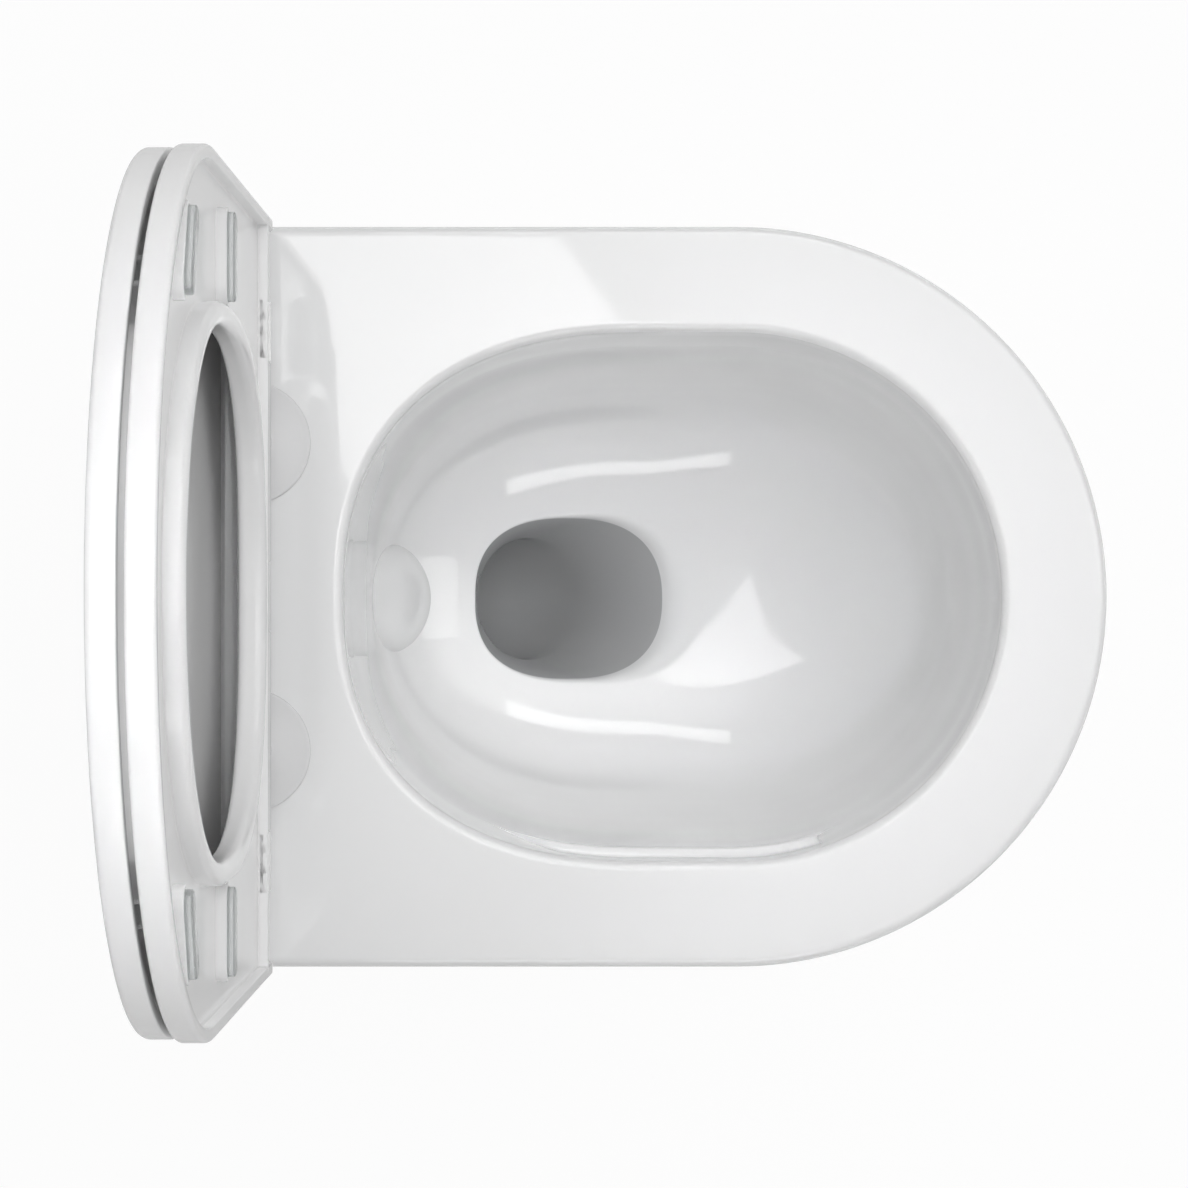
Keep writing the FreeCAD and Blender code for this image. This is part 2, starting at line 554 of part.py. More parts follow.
# ---- hinge -------------------------------------------------------------------------------------
def hinge_fixings():
    """Rosette, stud, expansion sleeve and nut at each seat fixing hole."""
    bar_under = AXIS_Z - BAR_R
    for name, sign in SIDES:
        x = sign * HINGE_SPACING / 2
        disc = rod((x, AXIS_Y, RIM_Z), (0, 0, 1), ROSETTE_R, ROSETTE)
        disc = disc.makeChamfer(ROSETTE * 0.4, level_edges(disc, RIM_Z + ROSETTE))
        boss = rod((x, AXIS_Y, RIM_Z), (0, 0, 1), ROSETTE_BOSS_R, bar_under - RIM_Z)
        seat = rod((x, AXIS_Y, bar_under), (0, 0, -1), STUD_FLANGE_R, STUD_FLANGE)
        through = rod((x, AXIS_Y, RIM_Z), (0, 0, 1), THREAD_R, BAR_R)
        export(f"hinge_rosette_{name}", fused([disc, boss]).cut([seat, through]))

        sleeve_foot = DECK_UNDER - SLEEVE_BELOW
        flange = rod((x, AXIS_Y, bar_under), (0, 0, -1), STUD_FLANGE_R, STUD_FLANGE)
        post = rod((x, AXIS_Y, bar_under), (0, 0, 1), STUD_R, STUD_REACH - 2)
        tip = Part.makeCone(STUD_R, STUD_R - 1.5, 2, Vector(x, AXIS_Y, bar_under + STUD_REACH - 2))
        thread_foot = sleeve_foot - NUT_HEIGHT
        thread = rod((x, AXIS_Y, thread_foot), (0, 0, 1), THREAD_R, bar_under - thread_foot)
        export(f"hinge_stud_{name}", fused([flange, post, tip, thread]))

        shaft = rod((x, AXIS_Y, sleeve_foot), (0, 0, 1), FIXING_HOLE_R - SOCKET, RIM_Z - sleeve_foot)
        bulge = rod((x, AXIS_Y, sleeve_foot), (0, 0, 1), SLEEVE_BULGE_R, SLEEVE_BELOW - SIDE_GAP)
        bulge = bulge.makeChamfer(SLEEVE_BULGE_R - FIXING_HOLE_R, level_edges(bulge, sleeve_foot))
        hole = rod((x, AXIS_Y, sleeve_foot), (0, 0, 1), THREAD_R, RIM_Z)
        export(f"expansion_sleeve_{name}", fused([shaft, bulge]).cut(hole))

        hexagon = [Vector(x + FIXING_HOLE_R * math.cos(math.radians(60 * side)),
                          AXIS_Y + FIXING_HOLE_R * math.sin(math.radians(60 * side)), thread_foot)
                   for side in range(7)]
        nut = extruded(Part.makePolygon(hexagon), NUT_HEIGHT)
        export(f"expansion_nut_{name}", nut.cut(rod((x, AXIS_Y, thread_foot), (0, 0, 1), THREAD_R,
                                                    NUT_HEIGHT)))


def axis_rod(x_start, x_end, radius):
    return rod((min(x_start, x_end), AXIS_Y, AXIS_Z), (1, 0, 0), radius, abs(x_end - x_start))


def hinge_bar():
    half = BAR_HALF - SIDE_GAP
    bar = axis_rod(-half, half, BAR_R)
    ends = [edge for edge in bar.Edges if edge.BoundBox.XLength < SIDE_GAP]
    bar = bar.makeChamfer(SIDE_GAP * 3, ends)
    pocket_depth = BUTTON_REACH + BUTTON_TRAVEL + SIDE_GAP
    high = BUTTON_HEIGHT / 2 + SIDE_GAP
    tools = [box((-BUTTON_HALF - SIDE_GAP, BUTTON_HALF + SIDE_GAP),
                 (AXIS_Y - BAR_R - OVERCUT, AXIS_Y - BAR_R + pocket_depth),
                 (AXIS_Z - high, AXIS_Z + high))]
    for name, sign in SIDES:
        tools.append(axis_rod(sign * (BAR_HALF + OVERCUT), sign * (half - DAMPER_LENGTH), DAMPER_R))
        tools.append(rod((sign * HINGE_SPACING / 2, AXIS_Y, AXIS_Z - BAR_R - OVERCUT), (0, 0, 1),
                         STUD_R + SOCKET, STUD_REACH + OVERCUT + SIDE_GAP))
        damper = axis_rod(sign * half, sign * (half - DAMPER_LENGTH), DAMPER_R)
        pin = axis_rod(sign * (half - PIN_BITE), sign * (LID_KNUCKLE_END - 4), PIN_R)
        clear = rod((sign * HINGE_SPACING / 2, AXIS_Y, AXIS_Z - BAR_R), (0, 0, 1),
                    STUD_R + SOCKET, STUD_REACH + SIDE_GAP)
        export(f"damper_{name}", damper.cut([pin, clear]))
        export(f"hinge_pin_{name}", pin)
    export("hinge_bar", bar.cut(tools))
    button = axis_rod(-BUTTON_HALF, BUTTON_HALF, BAR_R)
    export("release_button", button.common(box(
        (-BUTTON_HALF, BUTTON_HALF), (AXIS_Y - BAR_R, AXIS_Y - BAR_R + BUTTON_REACH),
        (AXIS_Z - BUTTON_HEIGHT / 2, AXIS_Z + BUTTON_HEIGHT / 2))))


def bush(x_start, x_end):
    return axis_rod(x_start, x_end, BUSH_R).cut(axis_rod(x_start, x_end, PIN_R + RUNNING))


# ---- seat --------------------------------------------------------------------------------------
def plate(half_width, overhang, z_low, height, inset=0.0):
    """Seat or lid blank in the closed position: flat rear edge, half-round front."""
    wire = d_outline(half_width - inset, PAN_LENGTH + overhang - inset,
                     AXIS_Y - PLATE_START - inset, z_low)
    return extruded(wire, height)


def seat_oval(growth, height):
    return oval(SEAT_OPENING_WIDTH / 2 + growth, AXIS_Y - SEAT_OPENING_REAR + growth,
                AXIS_Y - SEAT_OPENING_FRONT - growth, AXIS_Y - SEAT_OPENING_MID + OVERCUT,
                AXIS_Y - SEAT_OPENING_MID - OVERCUT, SEAT_POWERS, RIM_Z + height)


def rear_buffers():
    for name, sign in SIDES:
        yield sign * (SEAT_HALF - REAR_BUFFER_INSET), AXIS_Y - REAR_BUFFER_REACH, 0


def front_buffers():
    for name, sign in SIDES:
        yield (sign * (SEAT_HALF - FRONT_BUFFER_INSET), AXIS_Y - SEAT_REACH + FRONT_BUFFER_LAND,
               sign * FRONT_BUFFER_TURN)


def buffer_block(place, grow, low, high):
    """A round-ended pad lying across the seat, between two closed heights."""
    x, y, turn = place
    half, radius = BUFFER_LENGTH / 2 + grow, BUFFER_WIDTH / 2 + grow
    straight = half - radius
    z = RIM_Z + low
    wire = arc_polyline([
        ((-straight, -radius, z), (straight, -radius, z)),
        ((straight, -radius, z), (half, 0, z), (straight, radius, z)),
        ((straight, radius, z), (-straight, radius, z)),
        ((-straight, radius, z), (-half, 0, z), (-straight, -radius, z))])
    block = extruded(wire, high - low)
    block.rotate(Vector(0, 0, 0), Vector(0, 0, 1), turn)
    block.translate(Vector(x, y, 0))
    return block


def seat_ring():
    under = RIM_Z + SEAT_UNDER
    blank = plate(SEAT_HALF, SEAT_OVERHANG, under, SEAT_THICK)
    edges = level_edges(blank, under) + level_edges(blank, RIM_Z + SEAT_TOP)
    blank = blank.makeChamfer(SEAT_EDGE_ROUND, edges)
    recess = plate(SEAT_HALF, SEAT_OVERHANG, under - OVERCUT, SEAT_RECESS + OVERCUT, SEAT_LIP)
    lip_low, lip_mid = SEAT_UNDER - INNER_LIP_DROP, SEAT_UNDER - INNER_LIP_DROP * 0.65
    roof = SEAT_UNDER + SEAT_RECESS
    roll = Part.makeLoft([seat_oval(INNER_LIP, roof), seat_oval(INNER_LIP - 0.3, SEAT_UNDER - 0.5),
                          seat_oval(INNER_LIP - 2, lip_mid), seat_oval(INNER_LIP / 2, lip_low)],
                         True, True)
    places = list(rear_buffers()) + list(front_buffers())
    pockets = [buffer_block(place, POCKET_WALL, SEAT_UNDER, roof) for place in places]
    seat = blank.cut(recess).multiFuse([roll] + pockets)
    hole = Part.makeLoft([seat_oval(INNER_LIP / 2, lip_low), seat_oval(2, lip_mid),
                          seat_oval(0.3, SEAT_UNDER - 0.5), seat_oval(0, roof),
                          seat_oval(0, SEAT_TOP - DISH_DROP)], True, True)
    dish = Part.makeLoft([seat_oval(0, SEAT_TOP - DISH_DROP), seat_oval(DISH_WIDTH, SEAT_TOP),
                          seat_oval(DISH_WIDTH * 1.3, SEAT_TOP + OVERCUT)], True, True)
    seat = seat.cut([hole, dish] + [buffer_block(place, 0, 0, roof) for place in places])

    pieces = [seat]
    for name, sign in SIDES:
        inner_x, outer_x = sign * (BAR_HALF + SIDE_GAP / 2), sign * (SEAT_KNUCKLE_END - SIDE_GAP / 2)
        knuckle = axis_rod(inner_x, outer_x, BAR_R)
        web = box((inner_x, outer_x), (AXIS_Y, AXIS_Y - PLATE_START - SEAT_LIP),
                  (AXIS_Z - BAR_R, RIM_Z + SEAT_TOP))
        tab = box((sign * (LID_KNUCKLE_END + SIDE_GAP), sign * SEAT_HALF),
                  (AXIS_Y + BAR_R / 2, AXIS_Y - PLATE_START - SEAT_LIP), (under, RIM_Z + SEAT_TOP))
        pieces += [knuckle, web, tab]
    seat = fused(pieces)
    seat = seat.cut([axis_rod(sign * BAR_HALF, sign * SEAT_KNUCKLE_END, BUSH_R)
                     for name, sign in SIDES])
    export("seat_ring", raised(seat))
    for name, sign in SIDES:
        export(f"seat_bush_{name}", bush(sign * (BAR_HALF + SIDE_GAP / 2),
                                         sign * (SEAT_KNUCKLE_END - SIDE_GAP / 2)))
    for end, spots in (("rear", rear_buffers()), ("front", front_buffers())):
        pads = [buffer_block(place, 0, BUFFER_GAP, roof) for place in spots]
        export(f"seat_buffers_{end}", raised(Part.makeCompound(pads)))


# ---- lid ---------------------------------------------------------------------------------------
def lid_shell():
    low = RIM_Z + LID_UNDER
    blank = plate(LID_HALF, LID_HALF - PAN_HALF, low, LID_THICK)
    blank = blank.makeChamfer(LID_EDGE_ROUND, level_edges(blank, RIM_Z + LID_TOP))
    depth = LID_THICK - LID_SKIN + OVERCUT
    hollow = plate(LID_HALF, LID_HALF - PAN_HALF, low - OVERCUT, depth, LID_WALL)
    pieces = [blank.cut(hollow)]
    skin = RIM_Z + LID_TOP - LID_SKIN
    for name, sign in SIDES:
        start, end = SEAT_KNUCKLE_END + SIDE_GAP / 2, LID_KNUCKLE_END
        pieces.append(axis_rod(sign * start, sign * end, LID_KNUCKLE_R))
        pieces.append(box((sign * start, sign * end), (AXIS_Y, AXIS_Y - PLATE_START - LID_WALL),
                          (low, AXIS_Z + LID_KNUCKLE_R)))
        rib_y = AXIS_Y - PLATE_START - LID_WALL
        pieces.append(box((sign * BAR_HALF, sign * (BAR_HALF + LID_RIB)),
                          (rib_y, rib_y - LID_RIB_LENGTH), (skin - LID_RIB, skin)))
    lid = fused(pieces).cut([axis_rod(sign * SEAT_KNUCKLE_END, sign * LID_KNUCKLE_END, BUSH_R)
                             for name, sign in SIDES])
    export("lid_shell", raised(lid))
    for name, sign in SIDES:
        export(f"lid_bush_{name}",
               bush(sign * (SEAT_KNUCKLE_END + SIDE_GAP / 2), sign * LID_KNUCKLE_END))
    pads = []
    for inset, reach in ((REAR_PAD_INSET, REAR_PAD_REACH),
                         (FRONT_PAD_INSET, LID_REACH - FRONT_PAD_LAND)):
        for name, sign in SIDES:
            x, y = sign * (LID_HALF - inset), AXIS_Y - reach
            pads.append(box((x - LID_PAD_WIDTH / 2, x + LID_PAD_WIDTH / 2),
                            (y - LID_PAD_LENGTH / 2, y + LID_PAD_LENGTH / 2),
                            (RIM_Z + SEAT_TOP + BUFFER_GAP, skin)))
    export("lid_buffers", raised(Part.makeCompound(pads)))


os.makedirs("parts", exist_ok=True)
export("ceramic_pan", ceramic_pan())
wall_fixings()
hinge_fixings()
hinge_bar()
seat_ring()
lid_shell()
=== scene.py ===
"""Wall hung toilet seen from straight above, with its seat and lid raised."""
import json
import math

import bmesh
import bpy
from mathutils import Matrix, Quaternion, Vector


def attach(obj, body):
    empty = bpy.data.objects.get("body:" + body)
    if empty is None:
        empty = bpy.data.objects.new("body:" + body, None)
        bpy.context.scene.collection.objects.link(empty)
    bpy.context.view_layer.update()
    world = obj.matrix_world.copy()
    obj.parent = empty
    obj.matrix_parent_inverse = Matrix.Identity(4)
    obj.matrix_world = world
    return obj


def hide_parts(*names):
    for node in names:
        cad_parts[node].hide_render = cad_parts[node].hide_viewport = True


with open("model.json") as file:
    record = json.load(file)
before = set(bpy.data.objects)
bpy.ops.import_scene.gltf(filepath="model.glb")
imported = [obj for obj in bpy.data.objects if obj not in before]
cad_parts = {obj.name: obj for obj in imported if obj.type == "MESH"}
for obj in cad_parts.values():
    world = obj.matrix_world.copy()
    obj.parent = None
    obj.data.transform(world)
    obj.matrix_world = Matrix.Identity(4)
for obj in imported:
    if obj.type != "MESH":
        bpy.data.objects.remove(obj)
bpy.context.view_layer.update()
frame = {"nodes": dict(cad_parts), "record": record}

# ---- sizes in millimetres, in the frame of the CAD -------------------------------------------
MM = 0.001
RIM_Z = 80.0
PAN_HALF, PAN_LENGTH = 187.0, 490.0
BAND_FOOT_Z, TAPER_FOOT_Z, FOOT_Z = 40.0, -253.0, -265.0
FOOT_HALF, FOOT_LENGTH = 145.0, 250.0
CERAMIC, DECK_UNDER, BAND_MIDDLE_Z = 11.0, 66.0, 53.0
RIM_OUTER_ROUND, RIM_INNER_ROUND = 5.0, 4.0
OPENING_HALF, OPENING_REAR, OPENING_FRONT = 134.0, 104.0, 437.0
BOWL_DEPTH = 195.0
# Below this height, the faces of the throat and trapway are painted grey. This is painted shade deep in the
# throat.
PAINTED_SHADE_Z, PAINTED_SHADE_ROWS = -118.0, 8
THROAT_REAR, THROAT_FRONT, THROAT_HALF = 164.0, 279.0, 46.0
ARC_Y = PAN_HALF - PAN_LENGTH
LEDGE_Z, LEDGE_REACH, LEDGE_REAR, LEDGE_FRONT = 40.0, 136.0, 175.0, 346.0
LEDGE_LIP = 0.9
TRAP_R, TRAP_WALL = 35.0, 9.0
CREST_Y, CREST_Z, SPIGOT_START = -51.0, -80.0, -34.0
OUTLET_Z, OUTLET_R, OUTLET_MOUTH_R, OUTLET_END = -100.0, 51.0, 40.0, -4.0
AXIS_Y, AXIS_Z = -57.0, 96.5
BAR_R, BAR_HALF, SEAT_KNUCKLE_END, LID_KNUCKLE_END = 12.5, 117.0, 147.0, 182.0
LID_KNUCKLE_R = 10.5
SIDE_GAP = 0.3
PLATE_REAR = AXIS_Y - 13.3
SEAT_HALF, SEAT_FRONT, SEAT_UNDER, SEAT_TOP = 189.0, 492.0, 83.5, 95.5
SEAT_ROOF, SEAT_LIP, SEAT_LIP_FOOT = 88.5, 6.0, 79.5
LID_HALF, LID_FRONT, LID_UNDER, LID_TOP = 187.5, 490.5, 98.5, 110.5
LID_WALL, LID_ROOF = 6.0, 106.5
BUFFERS = ((148.5, -250.0, 0.0), (135.5, -396.0, 25.0))
HINGE_HOLE_X, ROSETTE_R, ROSETTE = 77.5, 31.0, 2.2
BUTTON_HALF, BUTTON_HIGH, BUTTON_DEEP = 17.0, 7.5, 8.5
INLET_Z = 35.0

SIDE_STEPS, CORNER_STEPS, BACK_STEPS, ARC_STEPS = 24, 6, 18, 96
SKIRT_STEPS, SOFT_STEPS = 30, 6
COLUMNS = 2 * (SIDE_STEPS + CORNER_STEPS + BACK_STEPS) + ARC_STEPS
SIDES = (("right", 1), ("left", -1))


# ---- outlines ----------------------------------------------------------------------------------
def d_outline(half, length, z, rear_y=0.0, corner=1.0, land=CERAMIC):
    """Right side, flat back with small corners and a land beside each, left side, half-round front."""
    arc_y = half - length
    straight = rear_y - corner - arc_y
    right = [(half, arc_y + straight * step / SIDE_STEPS) for step in range(SIDE_STEPS)]
    for step in range(CORNER_STEPS):
        angle = math.pi / 2 * step / CORNER_STEPS
        right.append((half - corner + corner * math.cos(angle), rear_y - corner + corner * math.sin(angle)))
    right.append((half - corner, rear_y))
    right += [((half - land) * (1 - step / (BACK_STEPS - 1)), rear_y) for step in range(BACK_STEPS - 1)]
    rear = right + [(0.0, rear_y)] + [(-x, y) for x, y in reversed(right)]
    angles = [math.pi * step / ARC_STEPS for step in range(1, ARC_STEPS)]
    front = [(-half * math.cos(angle), arc_y - half * math.sin(angle)) for angle in angles]
    return [Vector((x, y, z)) for x, y in rear + front]


def spread(points, count):
    """The same closed line with evenly spaced points."""
    closed = points + points[:1]
    runs = [(b - a).length for a, b in zip(closed, closed[1:])]
    step, walked, index, spaced = sum(runs) / count, 0.0, 0, []
    for place in range(count):
        while walked + runs[index] < place * step:
            walked += runs[index]
            index += 1
        spaced.append(closed[index].lerp(closed[index + 1], (place * step - walked) / runs[index]))
    return spaced


def oval(half, rear_y, front_y, rear_mid, front_mid, powers, z, columns=COLUMNS):
    """Superellipse ends towards the wall and the front, from the right side round the back."""
    points = [Vector((half, (rear_mid + front_mid) / 2, z))]
    for mid_y, end_y, power, turn in ((rear_mid, rear_y, powers[0], 1), (front_mid, front_y, powers[1], -1)):
        for step in range(361):
            angle = math.pi * step / 360
            across, along = turn * math.cos(angle), math.sin(angle)
            reach = (abs(across / half) ** power + abs(along / (end_y - mid_y)) ** power) ** (-1 / power)
            points.append(Vector((reach * across, mid_y + turn * reach * along, z)))
    return spread(points, columns)


def circle(centre, heading, radius, columns=COLUMNS):
    """A ring round a pipe's centre line in the plane x = 0."""
    side = Vector((1, 0, 0)).cross(heading)
    turns = [2 * math.pi * step / columns for step in range(columns)]
    return [centre + Vector((1, 0, 0)) * radius * math.cos(turn) + side * radius * math.sin(turn)
            for turn in turns]


def along_rows(rows, place):
    """Values between a table's rows, on a smooth curve."""
    index = max(0, min(len(rows) - 2, sum(row[0] <= place for row in rows) - 1))
    low, high = rows[index], rows[index + 1]
    span = high[0] - low[0]
    part = (place - low[0]) / span

    def slope(middle, column):
        before, after = rows[max(middle - 1, 0)], rows[min(middle + 1, len(rows) - 1)]
        return (after[column] - before[column]) / (after[0] - before[0]) * span

    values = []
    for column in range(1, len(low)):
        values.append((2 * part ** 3 - 3 * part ** 2 + 1) * low[column]
                      + (part ** 3 - 2 * part ** 2 + part) * slope(index, column)
                      + (3 * part ** 2 - 2 * part ** 3) * high[column]
                      + (part ** 3 - part ** 2) * slope(index + 1, column))
    return values


def quarter(steps, first=0, last=90):
    """Sine and cosine at even steps of a rounded edge."""
    for step in range(steps + 1):
        angle = math.radians(first + (last - first) * step / steps)
        yield math.sin(angle), math.cos(angle)


# ---- mesh helpers ------------------------------------------------------------------------------
def place_ring(ring, outline):
    """Moves the vertices of a ring onto the points of an outline."""
    for vertex, point in zip(ring, outline):
        vertex.co = point


def loft(bm, outlines):
    """Extrudes a ring from outline to outline; gives the rings in order."""
    made = bmesh.ops.create_circle(bm, cap_ends=False, radius=1, segments=len(outlines[0]))
    ring = made["verts"]
    place_ring(ring, outlines[0])
    rings = [ring]
    for outline in outlines[1:]:
        edges = [bm.edges.get((a, b)) for a, b in zip(ring, ring[1:] + ring[:1])]
        grown = bmesh.ops.extrude_edge_only(bm, edges=edges)["geom"]
        new = {item for item in grown if isinstance(item, bmesh.types.BMVert)}
        ring = [next(edge.other_vert(vertex) for edge in vertex.link_edges if edge.other_vert(vertex) in new)
                for vertex in ring]
        place_ring(ring, outline)
        rings.append(ring)
    return rings


def cap(bm, ring):
    """Closes a ring with one face."""
    edges = [bm.edges.get((a, b)) for a, b in zip(ring, ring[1:] + ring[:1])]
    bmesh.ops.contextual_create(bm, geom=ring + edges)


def raise_up(bm, raised):
    """Turns a closed seat or lid up about the hinge axis, as in the photograph."""
    if raised:
        upright = Matrix.Rotation(-math.pi / 2, 3, "X")
        bmesh.ops.rotate(bm, verts=bm.verts, cent=(0, AXIS_Y, AXIS_Z), matrix=upright)


def finish_piece(name, bm, body, material, nodes=(), raised=False, merge=0.01, angle=35):
    """Millimetres to metres, clean normals, material, body and the CAD nodes it stands for."""
    raise_up(bm, raised)
    bmesh.ops.remove_doubles(bm, verts=bm.verts, dist=merge)
    bmesh.ops.dissolve_degenerate(bm, edges=bm.edges, dist=merge / 10)
    bmesh.ops.recalc_face_normals(bm, faces=bm.faces)
    bmesh.ops.scale(bm, vec=(MM, MM, MM), verts=bm.verts)
    for face in bm.faces:
        face.smooth = True
    for edge in bm.edges:
        edge.smooth = len(edge.link_faces) == 2 and edge.calc_face_angle(0) < math.radians(angle)
    mesh = bpy.data.meshes.new(name)
    bm.to_mesh(mesh)
    bm.free()
    piece = bpy.data.objects.new(name, mesh)
    bpy.context.scene.collection.objects.link(piece)
    mesh.materials.append(material)
    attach(piece, body)
    if nodes:
        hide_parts(*nodes)
    return piece


# ---- shared surface effects ------------------------------------------------------------------
def effect(name, inputs, outputs):
    """An empty node group with named inputs and outputs."""
    group = bpy.data.node_groups.new(name, "ShaderNodeTree")
    for label, value in inputs:
        group.interface.new_socket(label, in_out="INPUT", socket_type="NodeSocketFloat").default_value = value
    for label, kind in outputs:
        group.interface.new_socket(label, in_out="OUTPUT", socket_type=kind)
    return group, group.nodes.new("NodeGroupInput"), group.nodes.new("NodeGroupOutput")


def math_node(tree, operation, first, second):
    """A Math node fed with numbers or sockets; gives its output."""
    node = tree.nodes.new("ShaderNodeMath")
    node.operation = operation
    for socket, value in zip(node.inputs, (first, second)):
        if isinstance(value, (int, float)):
            socket.default_value = value
        else:
            tree.links.new(value, socket)
    return node.outputs[0]


def ripple_effect():
    """The slow waves of a poured or moulded surface, with a fine grain on top."""
    group, given, result = effect(
        "surface_ripple",
        (("Wave Scale", 14.0), ("Wave Depth", 0.2), ("Grain Scale", 900.0), ("Grain Depth", 0.02)),
        (("Normal", "NodeSocketVector"), ("Wave", "NodeSocketFloat")))
    nodes, links = group.nodes, group.links
    place = nodes.new("ShaderNodeTexCoord")
    wave, grain = nodes.new("ShaderNodeTexNoise"), nodes.new("ShaderNodeTexNoise")
    wave.inputs["Detail"].default_value = 1.0
    grain.inputs["Detail"].default_value = 2.0
    for noise, label in ((wave, "Wave Scale"), (grain, "Grain Scale")):
        links.new(place.outputs["Object"], noise.inputs["Vector"])
        links.new(given.outputs[label], noise.inputs["Scale"])
    slow, fine = nodes.new("ShaderNodeBump"), nodes.new("ShaderNodeBump")
    steps = ((slow, wave, "Wave Depth", 0.004), (fine, grain, "Grain Depth", 0.0004))
    for bump, noise, label, reach in steps:
        bump.inputs["Distance"].default_value = reach
        links.new(given.outputs[label], bump.inputs["Strength"])
        links.new(noise.outputs["Fac"], bump.inputs["Height"])
    links.new(slow.outputs["Normal"], fine.inputs["Normal"])
    links.new(fine.outputs["Normal"], result.inputs["Normal"])
    links.new(wave.outputs["Fac"], result.inputs["Wave"])
    return group


def tone_effect():
    """A faint change of tone and gloss over a surface, as fine dust and wiping leave."""
    group, given, result = effect(
        "tone_drift", (("Scale", 6.0), ("Tone", 0.02), ("Gloss", 0.02), ("Roughness", 0.1)),
        (("Shade", "NodeSocketFloat"), ("Roughness", "NodeSocketFloat")))
    nodes, links = group.nodes, group.links
    place, noise = nodes.new("ShaderNodeTexCoord"), nodes.new("ShaderNodeTexNoise")
    noise.inputs["Detail"].default_value = 4.0
    links.new(place.outputs["Object"], noise.inputs["Vector"])
    links.new(given.outputs["Scale"], noise.inputs["Scale"])
    centred = math_node(group, "SUBTRACT", noise.outputs["Fac"], 0.5)
    shade = math_node(group, "MULTIPLY", centred, given.outputs["Tone"])
    links.new(math_node(group, "ADD", shade, 1.0), result.inputs["Shade"])
    gloss = math_node(group, "MULTIPLY", centred, given.outputs["Gloss"])
    links.new(math_node(group, "ADD", gloss, given.outputs["Roughness"]), result.inputs["Roughness"])
    return group


RIPPLE, TONE = ripple_effect(), tone_effect()


def finish_material(name, colour, roughness, wave=(14.0, 0.1), grain=(900.0, 0.01), tone=(6.0, 0.02),
                    gloss=0.02, **settings):
    """A Principled material whose tone, gloss and surface come from the shared effects."""
    material = bpy.data.materials.new(name)
    material.use_nodes = True
    tree = material.node_tree
    shader = tree.nodes["Principled BSDF"]
    ripple, drift = tree.nodes.new("ShaderNodeGroup"), tree.nodes.new("ShaderNodeGroup")
    ripple.node_tree, drift.node_tree = RIPPLE, TONE
    ripple.inputs["Wave Scale"].default_value, ripple.inputs["Wave Depth"].default_value = wave
    ripple.inputs["Grain Scale"].default_value, ripple.inputs["Grain Depth"].default_value = grain
    drift.inputs["Scale"].default_value, drift.inputs["Tone"].default_value = tone
    drift.inputs["Gloss"].default_value = gloss
    drift.inputs["Roughness"].default_value = roughness
    shaded = tree.nodes.new("ShaderNodeVectorMath")
    shaded.operation = "SCALE"
    shaded.inputs[0].default_value = colour
    tree.links.new(drift.outputs["Shade"], shaded.inputs["Scale"])
    tree.links.new(shaded.outputs[0], shader.inputs["Base Color"])
    tree.links.new(drift.outputs["Roughness"], shader.inputs["Roughness"])
    tree.links.new(ripple.outputs["Normal"], shader.inputs["Normal"])
    for label, value in settings.items():
        shader.inputs[label.replace("_", " ").title().replace("Ior", "IOR")].default_value = value
    return material


GLAZE = finish_material("glazed_ceramic", (0.92, 0.923, 0.926), 0.06, wave=(9.0, 0.05), grain=(700.0, 0.004),
                        gloss=0.01, coat_weight=1.0, coat_roughness=0.02)
# Grey for the lower throat and trapway, darker than the white glaze. This is painted shade that stands for
# the shade deep in the throat.
THROAT_PAINTED_SHADE = finish_material("throat_painted_shade", (0.52, 0.525, 0.53), 0.12, wave=(9.0, 0.05),
                                grain=(700.0, 0.01), gloss=0.02)
SEAT_WHITE = finish_material("moulded_gloss_white", (0.95, 0.95, 0.952), 0.1, wave=(16.0, 0.04),
                             grain=(1400.0, 0.01))
HINGE_WHITE = finish_material("hinge_white", (0.8, 0.8, 0.805), 0.25, grain=(1800.0, 0.03))
BUTTON_WHITE = finish_material("button_white", (0.78, 0.78, 0.785), 0.28, grain=(1800.0, 0.03))
CAP_WHITE = finish_material("cap_white", (0.84, 0.84, 0.845), 0.18)
BUSH_WHITE = finish_material("bush_nylon", (0.8, 0.8, 0.77), 0.45, grain=(1200.0, 0.08))
SILICONE = finish_material("clear_silicone", (0.9, 0.92, 0.92), 0.18, grain=(1500.0, 0.04),
                           transmission_weight=0.8, ior=1.41)
RUBBER = finish_material("black_rubber", (0.02, 0.02, 0.02), 0.6, grain=(1100.0, 0.2), gloss=0.15)
FIXING_NYLON = finish_material("glass_filled_nylon", (0.035, 0.035, 0.04), 0.5, grain=(800.0, 0.2),
                               gloss=0.15)
DAMPER_GREY = finish_material("damper_grey", (0.22, 0.22, 0.235), 0.4, grain=(1500.0, 0.06))
STEEL = finish_material("turned_stainless", (0.6, 0.6, 0.61), 0.28, grain=(2500.0, 0.1), gloss=0.1,
                        metallic=1.0)
BRASS = finish_material("turned_brass", (0.65, 0.47, 0.18), 0.3, grain=(2500.0, 0.1), gloss=0.1, metallic=1.0)

CAD_FINISHES = {"hinge_white": HINGE_WHITE, "button_white": BUTTON_WHITE, "cap_white": CAP_WHITE,
                "bush_white": BUSH_WHITE, "fixing_nylon": FIXING_NYLON, "damper_grey": DAMPER_GREY,
                "rubber": RUBBER, "steel": STEEL, "brass": BRASS, "silicone": SILICONE, "ceramic": GLAZE,
                "seat_white": SEAT_WHITE}
for part in frame["record"]["subparts"]:
    node = frame["nodes"].get(part["node"])
    if node is not None:
        node.data.materials.clear()
        node.data.materials.append(CAD_FINISHES[part["material_slot"]])

